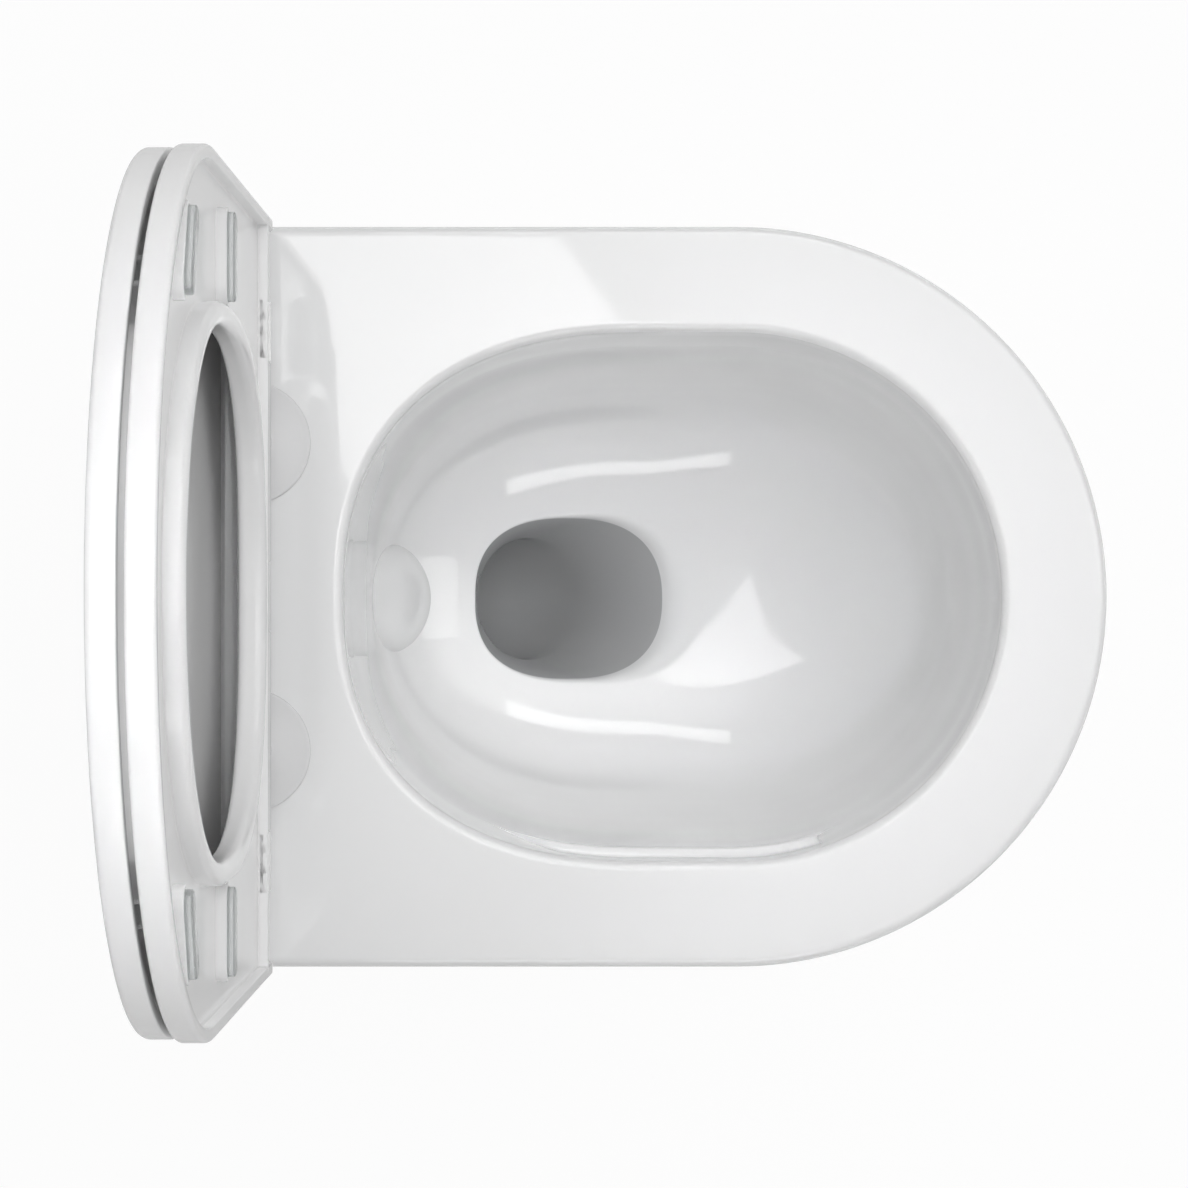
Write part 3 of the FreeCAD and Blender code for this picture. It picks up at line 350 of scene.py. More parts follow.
# ---- ceramic pan -------------------------------------------------------------------------------
BODY_TAPER = ((0.0, 0.0, 0.0), (0.05, 0.006, 0.005), (0.2, 0.06, 0.05), (0.45, 0.27, 0.24), (0.7, 0.57, 0.54),
              (1.0, 1.0, 1.0))
# Share of the depth; closing in at the rear, the front and the sides. Open fault: with these rows the wall
# of the trapway comes through the rear wall of the bowl.
BOWL_CLOSING = (
    (0.0, 0.0, 0.0, 0.0), (0.15, 0.01, 0.006, 0.036), (0.205, 0.014, 0.01, 0.051),
    (0.36, 0.033, 0.022, 0.085), (0.48, 0.052, 0.035, 0.119), (0.6, 0.075, 0.051, 0.167),
    (0.7, 0.1, 0.07, 0.224), (0.77, 0.133, 0.092, 0.281), (0.825, 0.175, 0.117, 0.341),
    (0.867, 0.225, 0.149, 0.403), (0.895, 0.292, 0.203, 0.46), (0.913, 0.358, 0.253, 0.511),
    (0.928, 0.433, 0.31, 0.5625), (0.954, 0.6, 0.443, 0.67), (0.974, 0.758, 0.589, 0.784),
    (0.99, 0.892, 0.766, 0.898), (1.0, 1.0, 1.0, 1.0))


def skirt_heights():
    """Levels shared by the outside and the inside of the skirt, from the foot up to the deck."""
    rise = BAND_FOOT_Z - TAPER_FOOT_Z
    taper = [TAPER_FOOT_Z + rise * step / SKIRT_STEPS for step in range(SKIRT_STEPS + 1)]
    return taper + [BAND_MIDDLE_Z, DECK_UNDER]


def body_size(z):
    """Half width and length of the outside at a height below the rim band."""
    narrowing, shortening = along_rows(BODY_TAPER, max(0.0, BAND_FOOT_Z - z) / (BAND_FOOT_Z - TAPER_FOOT_Z))
    return PAN_HALF - narrowing * (PAN_HALF - FOOT_HALF), PAN_LENGTH - shortening * (PAN_LENGTH - FOOT_LENGTH)


def softened(before, edge, after, radii):
    """Rings that round off one ring between its neighbours."""
    rings = []
    for step in range(SOFT_STEPS + 1):
        share, ring = step / SOFT_STEPS, []
        for first, corner, last, radius in zip(before, edge, after, radii):
            start = corner + (first - corner).normalized() * radius
            end = corner + (last - corner).normalized() * radius
            ring.append(start * (1 - share) ** 2 + corner * 2 * share * (1 - share) + end * share ** 2)
        rings.append(ring)
    return rings


def body_rings():
    """Outside from the underside round the foot, up the taper and the rim band to the flat rim."""
    sole = d_outline(FOOT_HALF - 30, FOOT_LENGTH - 40, FOOT_Z)
    skirt = [d_outline(*body_size(z), z) for z in skirt_heights()]
    sole_edge = d_outline(FOOT_HALF - 2.5, FOOT_LENGTH - 14, FOOT_Z)
    reach = [0.9 * (above - corner).length for above, corner in zip(skirt[0], sole_edge)]
    outlines = [sole] + softened(sole, sole_edge, skirt[0], reach) + skirt
    for sine, cosine in quarter(7):
        inset = RIM_OUTER_ROUND * (1 - cosine)
        outlines.append(d_outline(PAN_HALF - inset, PAN_LENGTH - inset, RIM_Z - RIM_OUTER_ROUND * (1 - sine)))
    outlines.append(d_outline(PAN_HALF - RIM_OUTER_ROUND - 1, PAN_LENGTH - RIM_OUTER_ROUND - 1, RIM_Z))
    return outlines


def bowl_oval(depth, growth=0.0):
    """The bowl's outline at a depth below the rim, grown by a wall or an edge."""
    share = min(depth / (BOWL_DEPTH + max(growth - RIM_INNER_ROUND, 0)), 1.0)
    rear, front, side = along_rows(BOWL_CLOSING, share)
    rear_mid, throat_mid = ARC_Y + 44, -(THROAT_REAR + THROAT_FRONT) / 2
    return oval(OPENING_HALF - side * (OPENING_HALF - THROAT_HALF) + growth,
                -OPENING_REAR - rear * (THROAT_REAR - OPENING_REAR) + growth,
                -OPENING_FRONT + front * (OPENING_FRONT - THROAT_FRONT) - growth,
                rear_mid + front * (throat_mid + 1 - rear_mid), ARC_Y + front * (throat_mid - 1 - ARC_Y),
                (2.4 + 0.2 * front, 2.0 + 0.4 * front ** 2), RIM_Z - depth)


def throat_rings(bowl):
    """Rounds the throat's lip, sharp at the rear and soft at the front, and leads into the sump."""
    lip, sump = bowl[-1], sump_rings(bowl[-1], 0.0)
    radii = [1.2 + 14.0 * ((-point.y - THROAT_REAR) / (THROAT_FRONT - THROAT_REAR)) ** 2 for point in lip]
    return bowl[:-3] + softened(bowl[-4], lip, sump[3], radii) + sump[4:]


def trap_line():
    """Centre, heading and widening: falling leg, water seal, crest and the fall to the spigot."""
    bends = ((-150.0, -138.0, 52.0, 215.0, 360.0, 18), (CREST_Y, CREST_Z - 47.0, 47.0, 180.0, 90.0, 14))
    for centre_y, centre_z, radius, start, end, steps in bends:
        way = 1 if end > start else -1
        for step in range(steps + 1):
            angle = math.radians(start + (end - start) * step / steps)
            yield (Vector((0, centre_y + radius * math.cos(angle), centre_z + radius * math.sin(angle))),
                   Vector((0, -way * math.sin(angle), way * math.cos(angle))), 0.0)
    for step in range(1, 11):
        part = step / 10
        eased = part * part * (3 - 2 * part)
        yield (Vector((0, CREST_Y + part * (SPIGOT_START - CREST_Y), CREST_Z + eased * (OUTLET_Z - CREST_Z))),
               Vector((0, 1, 0)), eased)


def sump_rings(top, growth):
    """From the throat's oval down to the round falling leg."""
    centre, heading, widening = next(trap_line())
    round_ring = circle(centre, heading, TRAP_R + growth)
    rings = []
    for step in range(1, 13):
        part = step / 12
        eased = part * part * (3 - 2 * part)
        rings.append([high.lerp(low, 0.4 * eased + 0.6 * part) for high, low in zip(top, round_ring)])
    return rings


def trapway_inside():
    """Bore of the trapway from the sump over the crest, with the rounded mouth of the spigot."""
    rings = [circle(centre, heading, TRAP_R + widening * (OUTLET_MOUTH_R - TRAP_R))
             for centre, heading, widening in trap_line()][1:]
    out = Vector((0, 1, 0))
    for y, radius in ((OUTLET_END - 1.5, OUTLET_MOUTH_R), (OUTLET_END, OUTLET_MOUTH_R + 1.5)):
        rings.append(circle(Vector((0, y, OUTLET_Z)), out, radius))
    return rings


def trapway_outside():
    """Outside of the trapway, from the end of the spigot back to the sump."""
    out, outer = Vector((0, 1, 0)), TRAP_R + TRAP_WALL
    rings = [circle(Vector((0, y, OUTLET_Z)), out, radius)
             for y, radius in ((OUTLET_END, OUTLET_R - 1.5), (OUTLET_END - 1.5, OUTLET_R))]
    return rings + [circle(centre, heading, outer + widening * (OUTLET_R - outer))
                    for centre, heading, widening in reversed(list(trap_line()))]


def hollow_rings():
    """Inside of the skirt, from the underside of the deck to the floor of the hollow."""
    outlines = []
    for z in skirt_heights()[::-1] + [FOOT_Z + CERAMIC]:
        half, length = body_size(max(z, TAPER_FOOT_Z))
        outlines.append(d_outline(half - CERAMIC, length - CERAMIC, z, corner=0.5, land=0.6))
    return outlines


def quad(rings, row, column):
    """The face between two rings at a column."""
    after = (column + 1) % COLUMNS
    corners = {rings[row][column], rings[row][after], rings[row + 1][after], rings[row + 1][column]}
    return next(face for face in rings[row][column].link_faces if set(face.verts) == corners)


def ledge_share(y):
    """How fully the flush ledge is cut at a distance from the wall: none at its rear, all in front."""
    part = max(0.0, min(1.0, (-y - LEDGE_REAR) / 75.0))
    return part * part * (3 - 2 * part)


def cut_ledge(bm, rings, top_row, foot_row):
    """Pushes the left wall of the bowl back above the flush ledge and rounds the ledge's lip."""
    columns = []
    for column in range(COLUMNS):
        corners = [rings[foot_row][(column + step) % COLUMNS] for step in (0, 1)]
        middle = (corners[0].co + corners[1].co) / 2
        if middle.x < 0 and -LEDGE_FRONT < middle.y < -LEDGE_REAR:
            columns.append(column)
    wall = [quad(rings, row, column) for row in range(top_row, foot_row) for column in columns]
    grown = bmesh.ops.extrude_face_region(bm, geom=wall)["geom"]
    bmesh.ops.delete(bm, geom=wall, context="FACES")
    for vertex in grown:
        if isinstance(vertex, bmesh.types.BMVert):
            centre = Vector((0, max(vertex.co.y, ARC_Y), vertex.co.z))
            if vertex.co.y > ARC_Y:
                back = Vector((-LEDGE_REACH, vertex.co.y, vertex.co.z))
            else:
                back = centre + (vertex.co - centre).normalized() * LEDGE_REACH
            vertex.co = vertex.co.lerp(back, ledge_share(vertex.co.y))
    for row, share in ((foot_row, 1.0), (foot_row + 1, 0.3)):
        for column in columns + [(columns[-1] + 1) % COLUMNS]:
            vertex = rings[row][column]
            away = Vector((-1, 0, 0))
            if vertex.co.y <= ARC_Y:
                away = Vector((vertex.co.x, vertex.co.y - ARC_Y, 0)).normalized()
            vertex.co += away * LEDGE_LIP * share * ledge_share(vertex.co.y)


def open_back(bm, rings):
    """Takes the back off both skins of the skirt, from the foot to the deck, and joins their edges."""
    first = SIDE_STEPS + CORNER_STEPS + 1
    levels = len(skirt_heights())
    backs = []
    columns = range(first, first + 2 * (BACK_STEPS - 1))
    for row in (SOFT_STEPS + 1, len(rings) - 1 - levels):
        for step in range(levels):
            backs += [quad(rings, row + step, column) for column in columns]
    bmesh.ops.delete(bm, geom=backs, context="FACES")
    bmesh.ops.bridge_loops(bm, edges=[edge for edge in bm.edges if len(edge.link_faces) == 1])


def ceramic_pan():
    """One closed surface: outside, rim, bowl, trapway in and out, bowl's outside and the hollow."""
    bm = bmesh.new()
    outlines = body_rings()
    edge = [bowl_oval(0.0, RIM_INNER_ROUND + 1)]
    edge += [bowl_oval(RIM_INNER_ROUND * (1 - cosine), RIM_INNER_ROUND * (1 - sine))
             for sine, cosine in quarter(7)]
    outlines += edge
    top_row = len(outlines)
    shelf = RIM_Z - LEDGE_Z
    depths = [RIM_Z - DECK_UNDER + (DECK_UNDER - LEDGE_Z) * step / 4 for step in range(5)]
    foot_row = top_row + len(depths) - 1
    depths += [shelf + 0.3 * LEDGE_LIP, shelf + LEDGE_LIP]
    depths += [BOWL_DEPTH - (BOWL_DEPTH - shelf - 4) * (1 - step / 36) ** 1.7 for step in range(37)]
    outlines += throat_rings([bowl_oval(depth) for depth in depths])
    throat_row = len(outlines) - PAINTED_SHADE_ROWS
    outlines += trapway_inside()
    trap_end = len(outlines)
    outlines += trapway_outside()
    outer_foot = bowl_oval(BOWL_DEPTH + CERAMIC - RIM_INNER_ROUND, CERAMIC)
    outlines += sump_rings(outer_foot, TRAP_WALL)[::-1][1:] + [outer_foot]
    for step in range(1, 13):
        depth = (BOWL_DEPTH + CERAMIC - RIM_INNER_ROUND) * (1 - step / 12) + (RIM_Z - DECK_UNDER) * step / 12
        outlines.append(bowl_oval(depth, CERAMIC))
    outlines += hollow_rings()
    rings = loft(bm, outlines)
    cap(bm, rings[0])
    cap(bm, rings[-1])
    open_back(bm, rings)
    cut_ledge(bm, rings, top_row, foot_row)
    # Throat and trapway faces below that height get the grey second material. This is painted shade, not a
    # different glaze.
    for ring in rings[throat_row:trap_end]:
        for vert in ring:
            for face in vert.link_faces:
                if vert.is_valid and face.calc_center_median().z < PAINTED_SHADE_Z:
                    face.material_index = 1
    pan = finish_piece("pan_ceramic", bm, "pan", GLAZE, ["ceramic_pan"], angle=40)
    pan.data.materials.append(THROAT_PAINTED_SHADE)


def wall_ring(y, centre_z, half_x, half_z, power=2.0, columns=96):
    """A level-axis ring: round at power 2, a rounded box above."""
    points = []
    for step in range(columns):
        turn = 2 * math.pi * step / columns
        across, up = abs(math.cos(turn) / half_x), abs(math.sin(turn) / half_z)
        reach = (across ** power + up ** power) ** (-1 / power)
        points.append(Vector((reach * math.cos(turn), y, centre_z + reach * math.sin(turn))))
    return points


def closed_loft(bm, outlines):
    """A loft with both its ends closed."""
    rings = loft(bm, outlines)
    cap(bm, rings[0])
    cap(bm, rings[-1])


def flush_inlet(bm):
    """Inlet socket with its step for the seal, and the chamber behind it."""
    inner, outer = (34.75, 27.5, 27.2, 7.0), (32.75, 35.5, 33.2, 7.0)
    outlines = [wall_ring(-88.0, *inner), wall_ring(-48.5, *inner)]
    for y, radius in ((-48.0, 23.0), (-47.0, 22.5), (-40.5, 22.5), (-40.0, 23.0), (-40.0, 27.5), (-2.0, 27.5),
                      (-0.8, 28.0), (-0.4, 29.0), (-0.4, 36.0), (-0.8, 37.0), (-2.0, 37.5), (-40.0, 37.5)):
        outlines.append(wall_ring(y, INLET_Z, radius, radius))
    outlines += [wall_ring(-46.0, *outer), wall_ring(-93.0, *outer)]
    outlines += [wall_ring(-96.0, outer[0], outer[1] - 3, outer[2] - 3, 7.0)]
    closed_loft(bm, outlines)


def channel_section(across, half_width, middle_z, half_height):
    """Rounded rectangle across the channel, centred on a point of its line."""
    centre, side = across
    ring = wall_ring(0.0, 0.0, half_width, half_height, 7.0, 48)
    return [Vector((centre.x, centre.y, middle_z)) + side * point.x + Vector((0, 0, point.z))
            for point in ring]


def flush_channel(bm):
    """From the chamber under the deck to the left side, then forward round the bowl to its outlet."""
    side = Vector((0, 1, 0))
    crossing = [channel_section((Vector((x, -82.0, 0)), side), 18.0, 12.5, 20.5)
                for x in (-182.0, -120.0, -60.0, -20.0)]
    closed_loft(bm, crossing)
    line = [(Vector((-165.0, y, 0)), Vector((1, 0, 0))) for y in (-66.0, -150.0, -230.0, ARC_Y)]
    for step in range(1, 9):
        turn = math.radians(28.0 * step / 8)
        out = Vector((-math.cos(turn), -math.sin(turn), 0))
        line.append((Vector((0, ARC_Y, 0)) + out * 165.0, -out))
    closed_loft(bm, [channel_section(across, 17.0, 51.0, 17.0) for across in line])
    block(bm, (-181.0, -149.0), (-98.8, -65.2), (-7.0, 70.0))


def block(bm, x_range, y_range, z_range, edge=3.0):
    """A cast rib or wall with rounded edges."""
    ranges = (x_range, y_range, z_range)
    verts = bmesh.ops.create_cube(bm, size=1.0)["verts"]
    bmesh.ops.scale(bm, vec=[high - low for low, high in ranges], verts=verts)
    bmesh.ops.translate(bm, vec=[(high + low) / 2 for low, high in ranges], verts=verts)
    edges = list({edge for vertex in verts for edge in vertex.link_edges})
    bmesh.ops.bevel(bm, geom=edges, affect="EDGES", offset=edge, segments=3, profile=0.5, material=-1)


def back_castings():
    """Flush channel and fixing ribs, seen from behind and below inside the skirt."""
    channel, ribs = bmesh.new(), bmesh.new()
    flush_inlet(channel)
    flush_channel(channel)
    finish_piece("flush_channel", channel, "pan", GLAZE)
    for name, sign in SIDES:
        foot = DECK_UNDER - 110.0
        block(ribs, sorted((sign * 128.0, sign * 139.0)), (-88.0, -0.3), (foot, DECK_UNDER + 5), 2.0)
        block(ribs, sorted((sign * 130.0, sign * 177.0)), (-87.4, -0.9), (foot + 0.6, foot + CERAMIC), 2.0)
    finish_piece("fixing_ribs", ribs, "pan", GLAZE)


ceramic_pan()
back_castings()


# ---- seat and lid ------------------------------------------------------------------------------
def seat_d(inset, z):
    """D outline of the seat."""
    return d_outline(SEAT_HALF - inset, SEAT_FRONT - inset, z, PLATE_REAR - inset, 4.0 - min(inset, 3.0))


def seat_oval(growth, z):
    """Outline of the opening in the seat."""
    return oval(115.0 + growth, AXIS_Y - 71.5 + growth, AXIS_Y - 371.0 - growth,
                AXIS_Y - 220.25, AXIS_Y - 222.25, (2.75, 2.15), z)


def seat_ring():
    """Once round the section of the ring: side, top, dish, opening, inner lip, hollow, outer lip."""
    bm = bmesh.new()
    edge = 1.8
    outlines = [seat_d(0.0, SEAT_UNDER + edge)]
    outlines += [seat_d(edge * (1 - cosine), SEAT_TOP - edge * (1 - sine)) for sine, cosine in quarter(5)]
    outlines += [seat_d(edge + 1, SEAT_TOP), seat_oval(28.0, SEAT_TOP)]
    for growth, drop in ((26.0, 0.0), (24.0, 0.08), (20.0, 0.4), (15.0, 1.0), (10.0, 1.7), (6.0, 2.4),
                         (3.0, 3.1), (1.6, 3.7), (0.7, 4.6), (0.2, 5.6), (0.0, 7.0)):
        outlines.append(seat_oval(growth, SEAT_TOP - drop))
    outlines += [seat_oval(0.0, SEAT_UNDER + 2)]
    for sine, cosine in quarter(10, 0, 180):
        outlines.append(seat_oval(5.0 - 5.0 * cosine, SEAT_LIP_FOOT + 3.0 - 3.0 * sine))
    outlines += [seat_oval(10.0, SEAT_ROOF - 1.0), seat_oval(10.3, SEAT_ROOF - 0.3)]
    outlines.append(seat_oval(11.0, SEAT_ROOF))
    outlines += [seat_oval(12.0, SEAT_ROOF), seat_d(SEAT_LIP + 2, SEAT_ROOF), seat_d(SEAT_LIP + 1, SEAT_ROOF)]
    outlines += [seat_d(SEAT_LIP + 0.3, SEAT_ROOF - 0.3), seat_d(SEAT_LIP, SEAT_ROOF - 1.0)]
    outlines += [seat_d(SEAT_LIP, SEAT_UNDER + 0.8), seat_d(SEAT_LIP - 0.25, SEAT_UNDER + 0.25)]
    outlines += [seat_d(SEAT_LIP - 0.8, SEAT_UNDER), seat_d(edge + 0.5, SEAT_UNDER)]
    outlines += [seat_d(edge * (1 - cosine), SEAT_UNDER + edge * (1 - sine))
                 for sine, cosine in quarter(5, 90, 0)]
    loft(bm, outlines)
    finish_piece("seat_ring_moulding", bm, "seat", SEAT_WHITE, ["seat_ring"], raised=True)


def lid_d(inset, z):
    """D outline of the lid."""
    return d_outline(LID_HALF - inset, LID_FRONT - inset, z, PLATE_REAR - inset, 4.0 - min(inset, 3.0))


def lid_shell():
    """Once round the section of the lid: top, edge, foot of the wall and the hollow below."""
    bm = bmesh.new()
    edge, fillet = 3.0, 2.0
    outlines = [lid_d(edge + 1.2, LID_TOP)]
    outlines += [lid_d(edge * (1 - cosine), LID_TOP - edge * (1 - sine))
                 for sine, cosine in quarter(7, 90, 0)]
    outlines += [lid_d(0.8 * (1 - cosine), LID_UNDER + 0.8 * (1 - sine)) for sine, cosine in quarter(3)]
    outlines += [lid_d(LID_WALL - 0.8, LID_UNDER), lid_d(LID_WALL - 0.2, LID_UNDER + 0.2)]
    outlines.append(lid_d(LID_WALL, LID_UNDER + 0.8))
    outlines += [lid_d(LID_WALL + fillet * (1 - cosine), LID_ROOF - fillet * (1 - sine))
                 for sine, cosine in quarter(4)]
    outlines.append(lid_d(LID_WALL + fillet + 1, LID_ROOF))
    rings = loft(bm, outlines)
    cap(bm, rings[0])
    cap(bm, rings[-1])
    finish_piece("lid_shell_moulding", bm, "lid", SEAT_WHITE, ["lid_shell"], raised=True)


def stadium(half, radius, z, place):
    """A round-ended outline across the seat."""
    x, y, turn = place
    points = []
    for end in (1, -1):
        for step in range(13):
            angle = math.radians(-90 + 180 * step / 12)
            along = half - radius + radius * math.cos(angle)
            points.append(Vector((end * along, end * radius * math.sin(angle), z)))
    matrix = Matrix.Translation((x, y, 0)) @ Matrix.Rotation(math.radians(turn), 4, "Z")
    return [matrix @ point for point in points]


def buffers():
    """Clear round-ended pads in their moulded pockets under the seat."""
    for (x, y, turn), end in zip(BUFFERS, ("rear", "front")):
        pads, frames = bmesh.new(), bmesh.new()
        for name, sign in SIDES:
            place = (sign * x, y, sign * turn)
            outlines = [stadium(18.6, 4.6, 80.3, place), stadium(19.4, 5.4, 80.5, place),
                        stadium(19.8, 5.8, 81.0, place), stadium(19.8, 5.8, SEAT_ROOF - 0.2, place)]
            rings = loft(pads, outlines)
            cap(pads, rings[0])
            cap(pads, rings[-1])
            frame_rows = ((22.0, SEAT_ROOF + 0.5), (22.0, SEAT_UNDER + 0.5), (21.6, SEAT_UNDER + 0.1),
                          (20.4, SEAT_UNDER + 0.1), (20.0, SEAT_UNDER + 0.5), (20.0, SEAT_ROOF + 0.5))
            loft(frames, [stadium(half, half - 14.0, z, place) for half, z in frame_rows + frame_rows[:1]])
        finish_piece(f"seat_pads_{end}", pads, "seat", SILICONE, [f"seat_buffers_{end}"],
                     raised=True)
        finish_piece(f"seat_pockets_{end}", frames, "seat", SEAT_WHITE, raised=True)


def side_profile(bm, points, start_x, end_x, round_edge=0.6):
    """A closed outline in the plane of the hinge, drawn out along the axis with softened ends."""
    made = bmesh.ops.create_circle(bm, cap_ends=True, radius=1, segments=len(points))
    ring = made["verts"]
    place_ring(ring, [Vector((start_x, y, z)) for y, z in points])
    face = ring[0].link_faces[0]
    grown = bmesh.ops.extrude_face_region(bm, geom=[face])["geom"]
    verts = [item for item in grown if isinstance(item, bmesh.types.BMVert)]
    bmesh.ops.translate(bm, verts=verts, vec=(end_x - start_x, 0, 0))
    if round_edge:
        ends = [edge for edge in bm.edges if abs(edge.verts[0].co.x - edge.verts[1].co.x) < 0.001
                and min(abs(edge.verts[0].co.x - start_x), abs(edge.verts[0].co.x - end_x)) < 0.001]
        bmesh.ops.bevel(bm, geom=ends, affect="EDGES", offset=round_edge, segments=3, profile=0.5,
                        material=-1)


def knuckle_outline(radius, low, high):
    """Round hinge eye that runs out into the plate in front of it."""
    first, last = [math.degrees(math.asin(max(-1.0, min(1.0, (z - AXIS_Z) / radius)))) for z in (high, low)]
    points = [(PLATE_REAR - SEAT_LIP, low), (PLATE_REAR - SEAT_LIP, high)]
    for step in range(37):
        angle = math.radians(180 - first + (first - last - 360) * step / 36)
        points.append((AXIS_Y + radius * math.cos(angle), AXIS_Z + radius * math.sin(angle)))
    return points


def knuckles():
    """The hinge eyes of seat and lid and the seat's rear corner tabs."""
    seat, lid = bmesh.new(), bmesh.new()
    for name, sign in SIDES:
        parts = bmesh.new()
        side_profile(parts, knuckle_outline(BAR_R, AXIS_Z - BAR_R, SEAT_TOP),
                     sign * (BAR_HALF + 0.15), sign * (SEAT_KNUCKLE_END - 0.15))
        join(seat, parts)
        parts = bmesh.new()
        low, high = SEAT_UNDER + 0.05, SEAT_TOP - 0.05
        front = AXIS_Y + BAR_R / 2
        tab = [(PLATE_REAR - 6, low), (PLATE_REAR - 6, high), (front - 2, high), (front, high - 2),
               (front, low + 2), (front - 2, low)]
        side_profile(parts, tab, sign * (LID_KNUCKLE_END + SIDE_GAP), sign * SEAT_HALF, 1.5)
        join(seat, parts)
        parts = bmesh.new()
        side_profile(parts, knuckle_outline(LID_KNUCKLE_R, LID_UNDER, AXIS_Z + LID_KNUCKLE_R),
                     sign * (SEAT_KNUCKLE_END + 0.15), sign * LID_KNUCKLE_END)
        join(lid, parts)
    finish_piece("seat_knuckles", seat, "seat", SEAT_WHITE, raised=True, merge=0.0001)
    finish_piece("lid_knuckles", lid, "lid", SEAT_WHITE, raised=True, merge=0.0001)


def join(target, parts):
    """Adds one bmesh to another."""
    mesh = bpy.data.meshes.new("joined")
    parts.to_mesh(mesh)
    parts.free()
    target.from_mesh(mesh)
    bpy.data.meshes.remove(mesh)


seat_ring()
lid_shell()
buffers()
knuckles()


# ---- hinge bar, button and rosettes --------------------------------------------------------------
def ring_points(radius, steps=72, first=0.0, last=360.0):
    """Points of an arc about the hinge axis, seen from the side."""
    turns = [math.radians(first + (last - first) * step / steps) for step in range(steps)]
    return [(AXIS_Y + radius * math.cos(turn), AXIS_Z + radius * math.sin(turn)) for turn in turns]


def hinge_bar():
    """Round bar with a pocket for the button in the middle."""
    bar = bmesh.new()
    for name, sign in SIDES:
        parts = bmesh.new()
        start_x, end_x = sign * (BUTTON_HALF + SIDE_GAP), sign * (BAR_HALF - SIDE_GAP)
        side_profile(parts, ring_points(BAR_R), start_x, end_x, 0.9)
        join(bar, parts)
    parts = bmesh.new()
    high = BUTTON_HIGH + SIDE_GAP
    turn = math.degrees(math.asin(high / BAR_R))
    floor_y = AXIS_Y - BAR_R + BUTTON_DEEP + 2.5 + SIDE_GAP
    outline = ring_points(BAR_R, 48, -180 + turn, 180 - turn)
    outline.append((AXIS_Y - BAR_R * math.cos(math.radians(turn)), AXIS_Z + high))
    outline += [(floor_y, AXIS_Z + high), (floor_y, AXIS_Z - high)]
    side_profile(parts, outline, -BUTTON_HALF - SIDE_GAP, BUTTON_HALF + SIDE_GAP, 0)
    join(bar, parts)
    finish_piece("hinge_bar_moulding", bar, "hinge", HINGE_WHITE, ["hinge_bar"], merge=0.0001)


def release_button():
    """Cap of the quick-release button."""
    button = bmesh.new()
    turn = math.degrees(math.asin(BUTTON_HIGH / BAR_R))
    outline = ring_points(BAR_R, 24, 180 - turn, 180 + turn)
    outline.append((AXIS_Y - BAR_R * math.cos(math.radians(turn)), AXIS_Z - BUTTON_HIGH))
    back_y = AXIS_Y - BAR_R + BUTTON_DEEP
    outline += [(back_y, AXIS_Z - BUTTON_HIGH), (back_y, AXIS_Z + BUTTON_HIGH)]
    side_profile(button, outline, -BUTTON_HALF, BUTTON_HALF, 0.5)
    finish_piece("release_button_cap", button, "button", BUTTON_WHITE, ["release_button"])


def turned(bm, profile, centre, steps=96):
    """A profile of radius and height spun round an upright axis."""
    verts = bmesh.ops.create_vert(bm, co=(0, 0, 0))["vert"]
    verts[0].co = Vector((centre[0] + profile[0][0], centre[1], profile[0][1]))
    chain = [verts[0]]
    for radius, height in profile[1:]:
        vertex = bmesh.ops.create_vert(bm, co=(centre[0] + radius, centre[1], height))["vert"][0]
        chain.append(vertex)
    edges = [bm.edges.new(pair) for pair in zip(chain, chain[1:])]
    bmesh.ops.spin(bm, geom=chain + edges, cent=(*centre, 0), axis=(0, 0, 1), angle=2 * math.pi, steps=steps,
                   use_merge=True)


def rosettes():
    """Flat round covers that the hinge bar stands on."""
    for name, sign in SIDES:
        bm = bmesh.new()
        high = RIM_Z + ROSETTE
        profile = [(0.0, RIM_Z), (ROSETTE_R - 0.3, RIM_Z), (ROSETTE_R, RIM_Z + 0.3), (ROSETTE_R, high - 0.9)]
        profile += [(ROSETTE_R - 0.9 * (1 - cosine), high - 0.9 * (1 - sine))
                    for sine, cosine in quarter(4)][1:]
        profile += [(ROSETTE_R - 1.6, high), (12.4, high), (11.8, high + 0.2), (11.5, high + 0.6)]
        profile += [(11.5, 84.0), (0.0, 84.0)]
        turned(bm, profile, (sign * HINGE_HOLE_X, AXIS_Y))
        finish_piece(f"rosette_{name}", bm, "pan", HINGE_WHITE, [f"hinge_rosette_{name}"])


hinge_bar()
release_button()
rosettes()


# ---- floor, light and camera ---------------------------------------------------------------------
FLOOR_SEEN_WHITE = 0.94
WORLD_LIGHT = 0.34
FILL_SPREAD = math.radians(16)
GLOW_LIGHT = 1.7
GLOW_HEADING = (0.3, -0.3, 0.9)
GLOW_RANGE = (0.82, 0.96)
